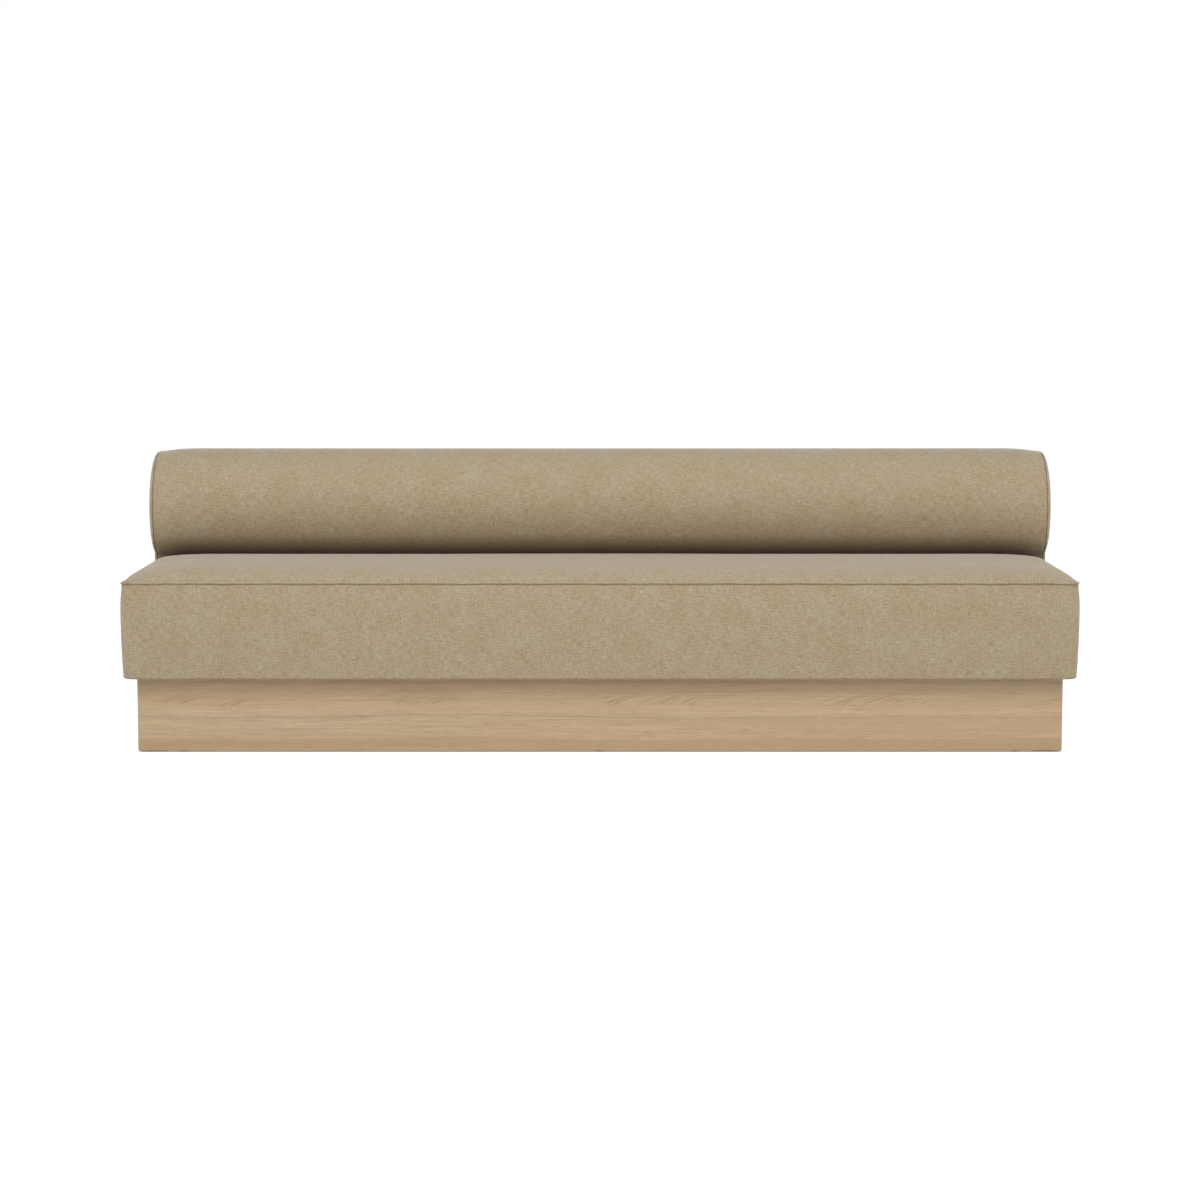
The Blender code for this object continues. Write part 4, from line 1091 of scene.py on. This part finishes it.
slow = drawn_out((0.8, 38.0, 38.0), 4.0, 0.6)
fibres = drawn_out((6.0, 360.0, 360.0), 3.0, 0.65)
specks = drawn_out((150.0, 520.0, 520.0), 2.0)
dashes = drawn_out((30.0, 1100.0, 1100.0), 1.0)
pores = add_math(grain, "MULTIPLY", add_range(grain, dashes, (0.60, 0.72)), given["Pores"])
tone = add_math(grain, "ADD", centred(grain, slow, 0.45), centred(grain, fibres, 1.30))
tone = add_math(grain, "ADD", tone, centred(grain, specks, 0.40))
tone = add_math(grain, "ADD", add_math(grain, "ADD", tone, bands), 0.47)
for dark_mark, share in ((pores, 1.2), (strokes, 0.9)):
    tone = add_math(grain, "SUBTRACT", tone, add_math(grain, "MULTIPLY", dark_mark, share))
grain.links.new(tone, result["Tone"])
# Near the top of the panel this redness is painted light on the shade under the seat; elsewhere it is the
# wood's own tone.
redder = add_math(grain, "MULTIPLY", ramp_over(panel_share, REDDER_WOOD_AND_PAINTED_WARMTH), given["Bands"])
redder = add_math(grain, "MULTIPLY", redder, 0.65)
streak = add_range(grain, drawn_out((0.5, 30.0, 30.0)), (0.44, 0.71))
streak = add_math(grain, "MULTIPLY", streak, 0.7)
grain.links.new(add_math(grain, "MAXIMUM", redder, streak), result["Streak"])
grain.links.new(add_math(grain, "SUBTRACT", fibres, pores), result["Height"])
print(f"grain: {len(grain.nodes)} nodes")


# %% [markdown]
# ## Oak, pine and birch
# The three woods differ in colour, pores and gloss, and only the oak has bands, strokes and a thin
# lacquer. The grain runs along x. In panels and rails that run from front to rear, x and y change places,
# so that it runs along them.


# %% Wood finishes
def make_wood(name, dark, light, streak, along_y=False, bands=0.0, pores=0.5, roughness=0.55, coat=0.0):
    """A wood whose grain runs along x, or along y in pieces that run from front to rear."""
    material, tree, shader = new_material(name)
    where = add_node(tree, "ShaderNodeTexCoord").outputs["Object"]
    if along_y:
        axes = add_node(tree, "ShaderNodeSeparateXYZ", {0: where}).outputs
        where = add_place(tree, axes[1], axes[0], axes[2])
    wood = add_node(tree, "ShaderNodeGroup", node_tree=grain)
    tree.links.new(where, wood.inputs["Place"])
    wood.inputs["Bands"].default_value = bands
    wood.inputs["Pores"].default_value = pores
    colour = mix_colours(tree, wood.outputs["Tone"], (*dark, 1.0), (*light, 1.0))
    share = add_math(tree, "MULTIPLY", wood.outputs["Streak"], 0.7)
    colour = mix_colours(tree, share, colour, (*streak, 1.0))
    tree.links.new(colour, shader.inputs["Base Color"])
    set_roughness(tree, shader, wood.outputs["Tone"], (roughness + 0.1, roughness))
    set_bump(tree, shader, wood.outputs["Height"], 0.25, 0.0003)
    shader.inputs["Coat Weight"].default_value = coat
    shader.inputs["Coat Roughness"].default_value = 0.4
    return material


OAK = {"dark": (0.36, 0.248, 0.138), "light": (0.62, 0.480, 0.311), "streak": (0.488, 0.318, 0.171)}
oak = make_wood("oak", **OAK, bands=0.95, coat=0.05)
oak_ends = make_wood("oak_ends", **OAK, along_y=True, bands=0.95, coat=0.05)
PINE = {"dark": (0.50, 0.34, 0.18), "light": (0.74, 0.56, 0.35), "streak": (0.58, 0.40, 0.22)}
BIRCH = {"dark": (0.56, 0.43, 0.27), "light": (0.76, 0.62, 0.43), "streak": (0.64, 0.50, 0.32)}
RAW = {"pores": 0.1, "roughness": 0.7}
pine = make_wood("pine", **PINE, **RAW)
pine_across = make_wood("pine_across", **PINE, **RAW, along_y=True)
birch = make_wood("birch", **BIRCH, **RAW)
print("woods: " + ", ".join(wood.name for wood in (oak, oak_ends, pine, pine_across, birch)))


# %% [markdown]
# ## Steel and nylon
# The fasteners and the floor glides hardly show, but each still has its finish: zinc plate with a patchy
# bloom, and moulded nylon with a fine grain.


# %% Small finishes
def make_speckled(name, dark, light, scale, roughness, metallic):
    """A finish that varies finely between a dark and a light tone."""
    material, tree, shader = new_material(name)
    where = add_node(tree, "ShaderNodeTexCoord").outputs["Object"]
    speckle = add_noise(tree, where, scale, 3.0, 0.6)
    tree.links.new(mix_colours(tree, speckle, (*dark, 1.0), (*light, 1.0)), shader.inputs["Base Color"])
    set_roughness(tree, shader, speckle, (roughness - 0.1, roughness + 0.1))
    set_bump(tree, shader, speckle, 0.2, 0.0002)
    shader.inputs["Metallic"].default_value = metallic
    return material


zinc_steel = make_speckled(
    "zinc_steel", (0.50, 0.51, 0.52), (0.70, 0.71, 0.72), scale=220.0, roughness=0.35, metallic=1.0
)
moulded_nylon = make_speckled(
    "moulded_nylon", (0.36, 0.28, 0.20), (0.44, 0.35, 0.26), scale=900.0, roughness=0.5, metallic=0.0
)
print(f"small finishes: {zinc_steel.name} and {moulded_nylon.name}")

# %% [markdown]
# ## Each piece gets its finish
# The record names a material slot for each solid, so the finishes are handed out by slot. Pieces that run
# from front to rear are known by their names and take the wood whose grain runs that way. The foam and
# the wadding are hidden by the cushions that stand for them, and take the cover's cloth.

# %% Finishes onto pieces
slot_finish = {
    "upholstery_cloth": upholstery_cloth, "dust_cloth": dust_cloth, "foam": upholstery_cloth,
    "wadding": upholstery_cloth, "webbing": webbing_cloth, "oak": oak, "timber": pine, "plywood": birch,
    "steel": zinc_steel, "nylon": moulded_nylon,
}
across_words = ("left_panel", "right_panel", "cross_rail", "stretcher", "left_rail", "right_rail")
for row in frame["record"]["subparts"]:
    name, slot = row["node"], row["material_slot"]
    finish = slot_finish[slot]
    if any(word in name for word in across_words):
        finish = {"oak": oak_ends, "timber": pine_across}[slot]
    for holder in nodes[name].material_slots:
        holder.material = finish
for cushion in (seat_cushion, back_bolster):
    cushion.data.materials.append(upholstery_cloth)
for sheet in (seat_dust_sheet, back_dust_sheet):
    sheet.data.materials.append(dust_cloth)

# %% [markdown]
# ## Floor and background
# The photograph is cut out on white. A wide pale floor carries the light back up under the seat, and to
# the camera it is mostly plain white, with part of its real shading left so that the sofa keeps a faint
# shadow. Within a finger's width of the plinth more of the shading is kept, as a line of contact.


# %% Floor and background
def seen_directly(tree):
    """1 for rays from the camera, off a mirror or through glass, and 0 for light on the object."""
    path = add_node(tree, "ShaderNodeLightPath").outputs
    seen = add_math(tree, "MAXIMUM", path["Is Camera Ray"], path["Is Glossy Ray"])
    return add_math(tree, "MAXIMUM", seen, path["Is Transmission Ray"])


WHITE = (1.0, 1.0, 1.0, 1.0)
FLOOR_SIZE = 40.0
FLOOR_GREY = (0.82, 0.82, 0.82, 1.0)
FLOOR_WHITE = 1.285  # makes up for the shading that is mixed in, so that the floor comes out white
SHADOW_SHARE = 0.25
CONTACT_REACH = 0.010
SKY_STRENGTH = 0.2

floor_mesh = bpy.data.meshes.new("floor")
corner = FLOOR_SIZE / 2
floor_corners = [(-corner, -corner, 0), (corner, -corner, 0), (corner, corner, 0), (-corner, corner, 0)]
floor_mesh.from_pydata(floor_corners, [], [(0, 1, 2, 3)])
floor = bpy.data.objects.new("floor", floor_mesh)
scene.collection.objects.link(floor)
floor_finish = bpy.data.materials.new("floor_finish")
floor_finish.use_nodes = True
tree = floor_finish.node_tree
tree.nodes.clear()
matt = add_node(tree, "ShaderNodeBsdfDiffuse", {"Color": FLOOR_GREY})
white = add_node(tree, "ShaderNodeEmission", {"Color": WHITE, "Strength": FLOOR_WHITE})
contact = add_node(tree, "ShaderNodeAmbientOcclusion", {"Distance": CONTACT_REACH}, samples=8).outputs["AO"]
whiter = add_math(tree, "MULTIPLY", contact, 1 - SHADOW_SHARE)
share = add_math(tree, "MULTIPLY", seen_directly(tree), whiter)
mixed = add_node(tree, "ShaderNodeMixShader", {0: share, 1: matt.outputs[0], 2: white.outputs[0]})
add_node(tree, "ShaderNodeOutputMaterial", {0: mixed.outputs[0]})
floor_mesh.materials.append(floor_finish)

world = bpy.data.worlds.new("studio")
world.use_nodes = True
tree = world.node_tree
tree.nodes.clear()
sky = add_node(tree, "ShaderNodeBackground", {"Color": WHITE, "Strength": SKY_STRENGTH})
plain = add_node(tree, "ShaderNodeBackground", {"Color": WHITE, "Strength": 1.0})
seen = seen_directly(tree)
mixed = add_node(tree, "ShaderNodeMixShader", {0: seen, 1: sky.outputs[0], 2: plain.outputs[0]})
add_node(tree, "ShaderNodeOutputWorld", {0: mixed.outputs[0]})
scene.world = world
scene.view_settings.view_transform = "Standard"
print(f"floor {FLOOR_SIZE} m wide, sky strength {SKY_STRENGTH}")

# %% [markdown]
# ## Lamps
# The light is an even studio: besides the soft sky, a wide lamp high in front, a weaker one lower down
# that softens the shade under the seat, and low ones behind and at both ends, which bring out the cloth's
# sheen along the top. All are area lamps, because a wide lamp makes soft shadows.


# %% Lamps
def add_lamp(name, place, aim, size, power):
    """A wide soft lamp, turned towards a point."""
    data = bpy.data.lights.new(name, "AREA")
    data.shape = "RECTANGLE"
    data.size, data.size_y = size
    data.energy = power
    lamp = bpy.data.objects.new(name, data)
    lamp.location = place
    direction = Vector(aim) - lamp.location
    lamp.rotation_euler = direction.to_track_quat("-Z", "Y").to_euler()
    scene.collection.objects.link(lamp)
    return lamp


MIDDLE = (0.0, 0.0, 0.4)
add_lamp("high_lamp", (0.0, -3.3, 4.7), MIDDLE, (6.0, 2.0), 196.0)
add_lamp("low_lamp", (0.0, -4.6, 3.0), MIDDLE, (6.0, 1.8), 66.0)
add_lamp("rear_lamp", (0.0, 5.2, 2.0), MIDDLE, (6.0, 1.8), 115.0)
for name, x in (("left_lamp", -5.5), ("right_lamp", 5.5)):
    add_lamp(name, (x, 0.4, 1.3), MIDDLE, (2.4, 1.6), 63.0)
print("five lamps and a soft sky")
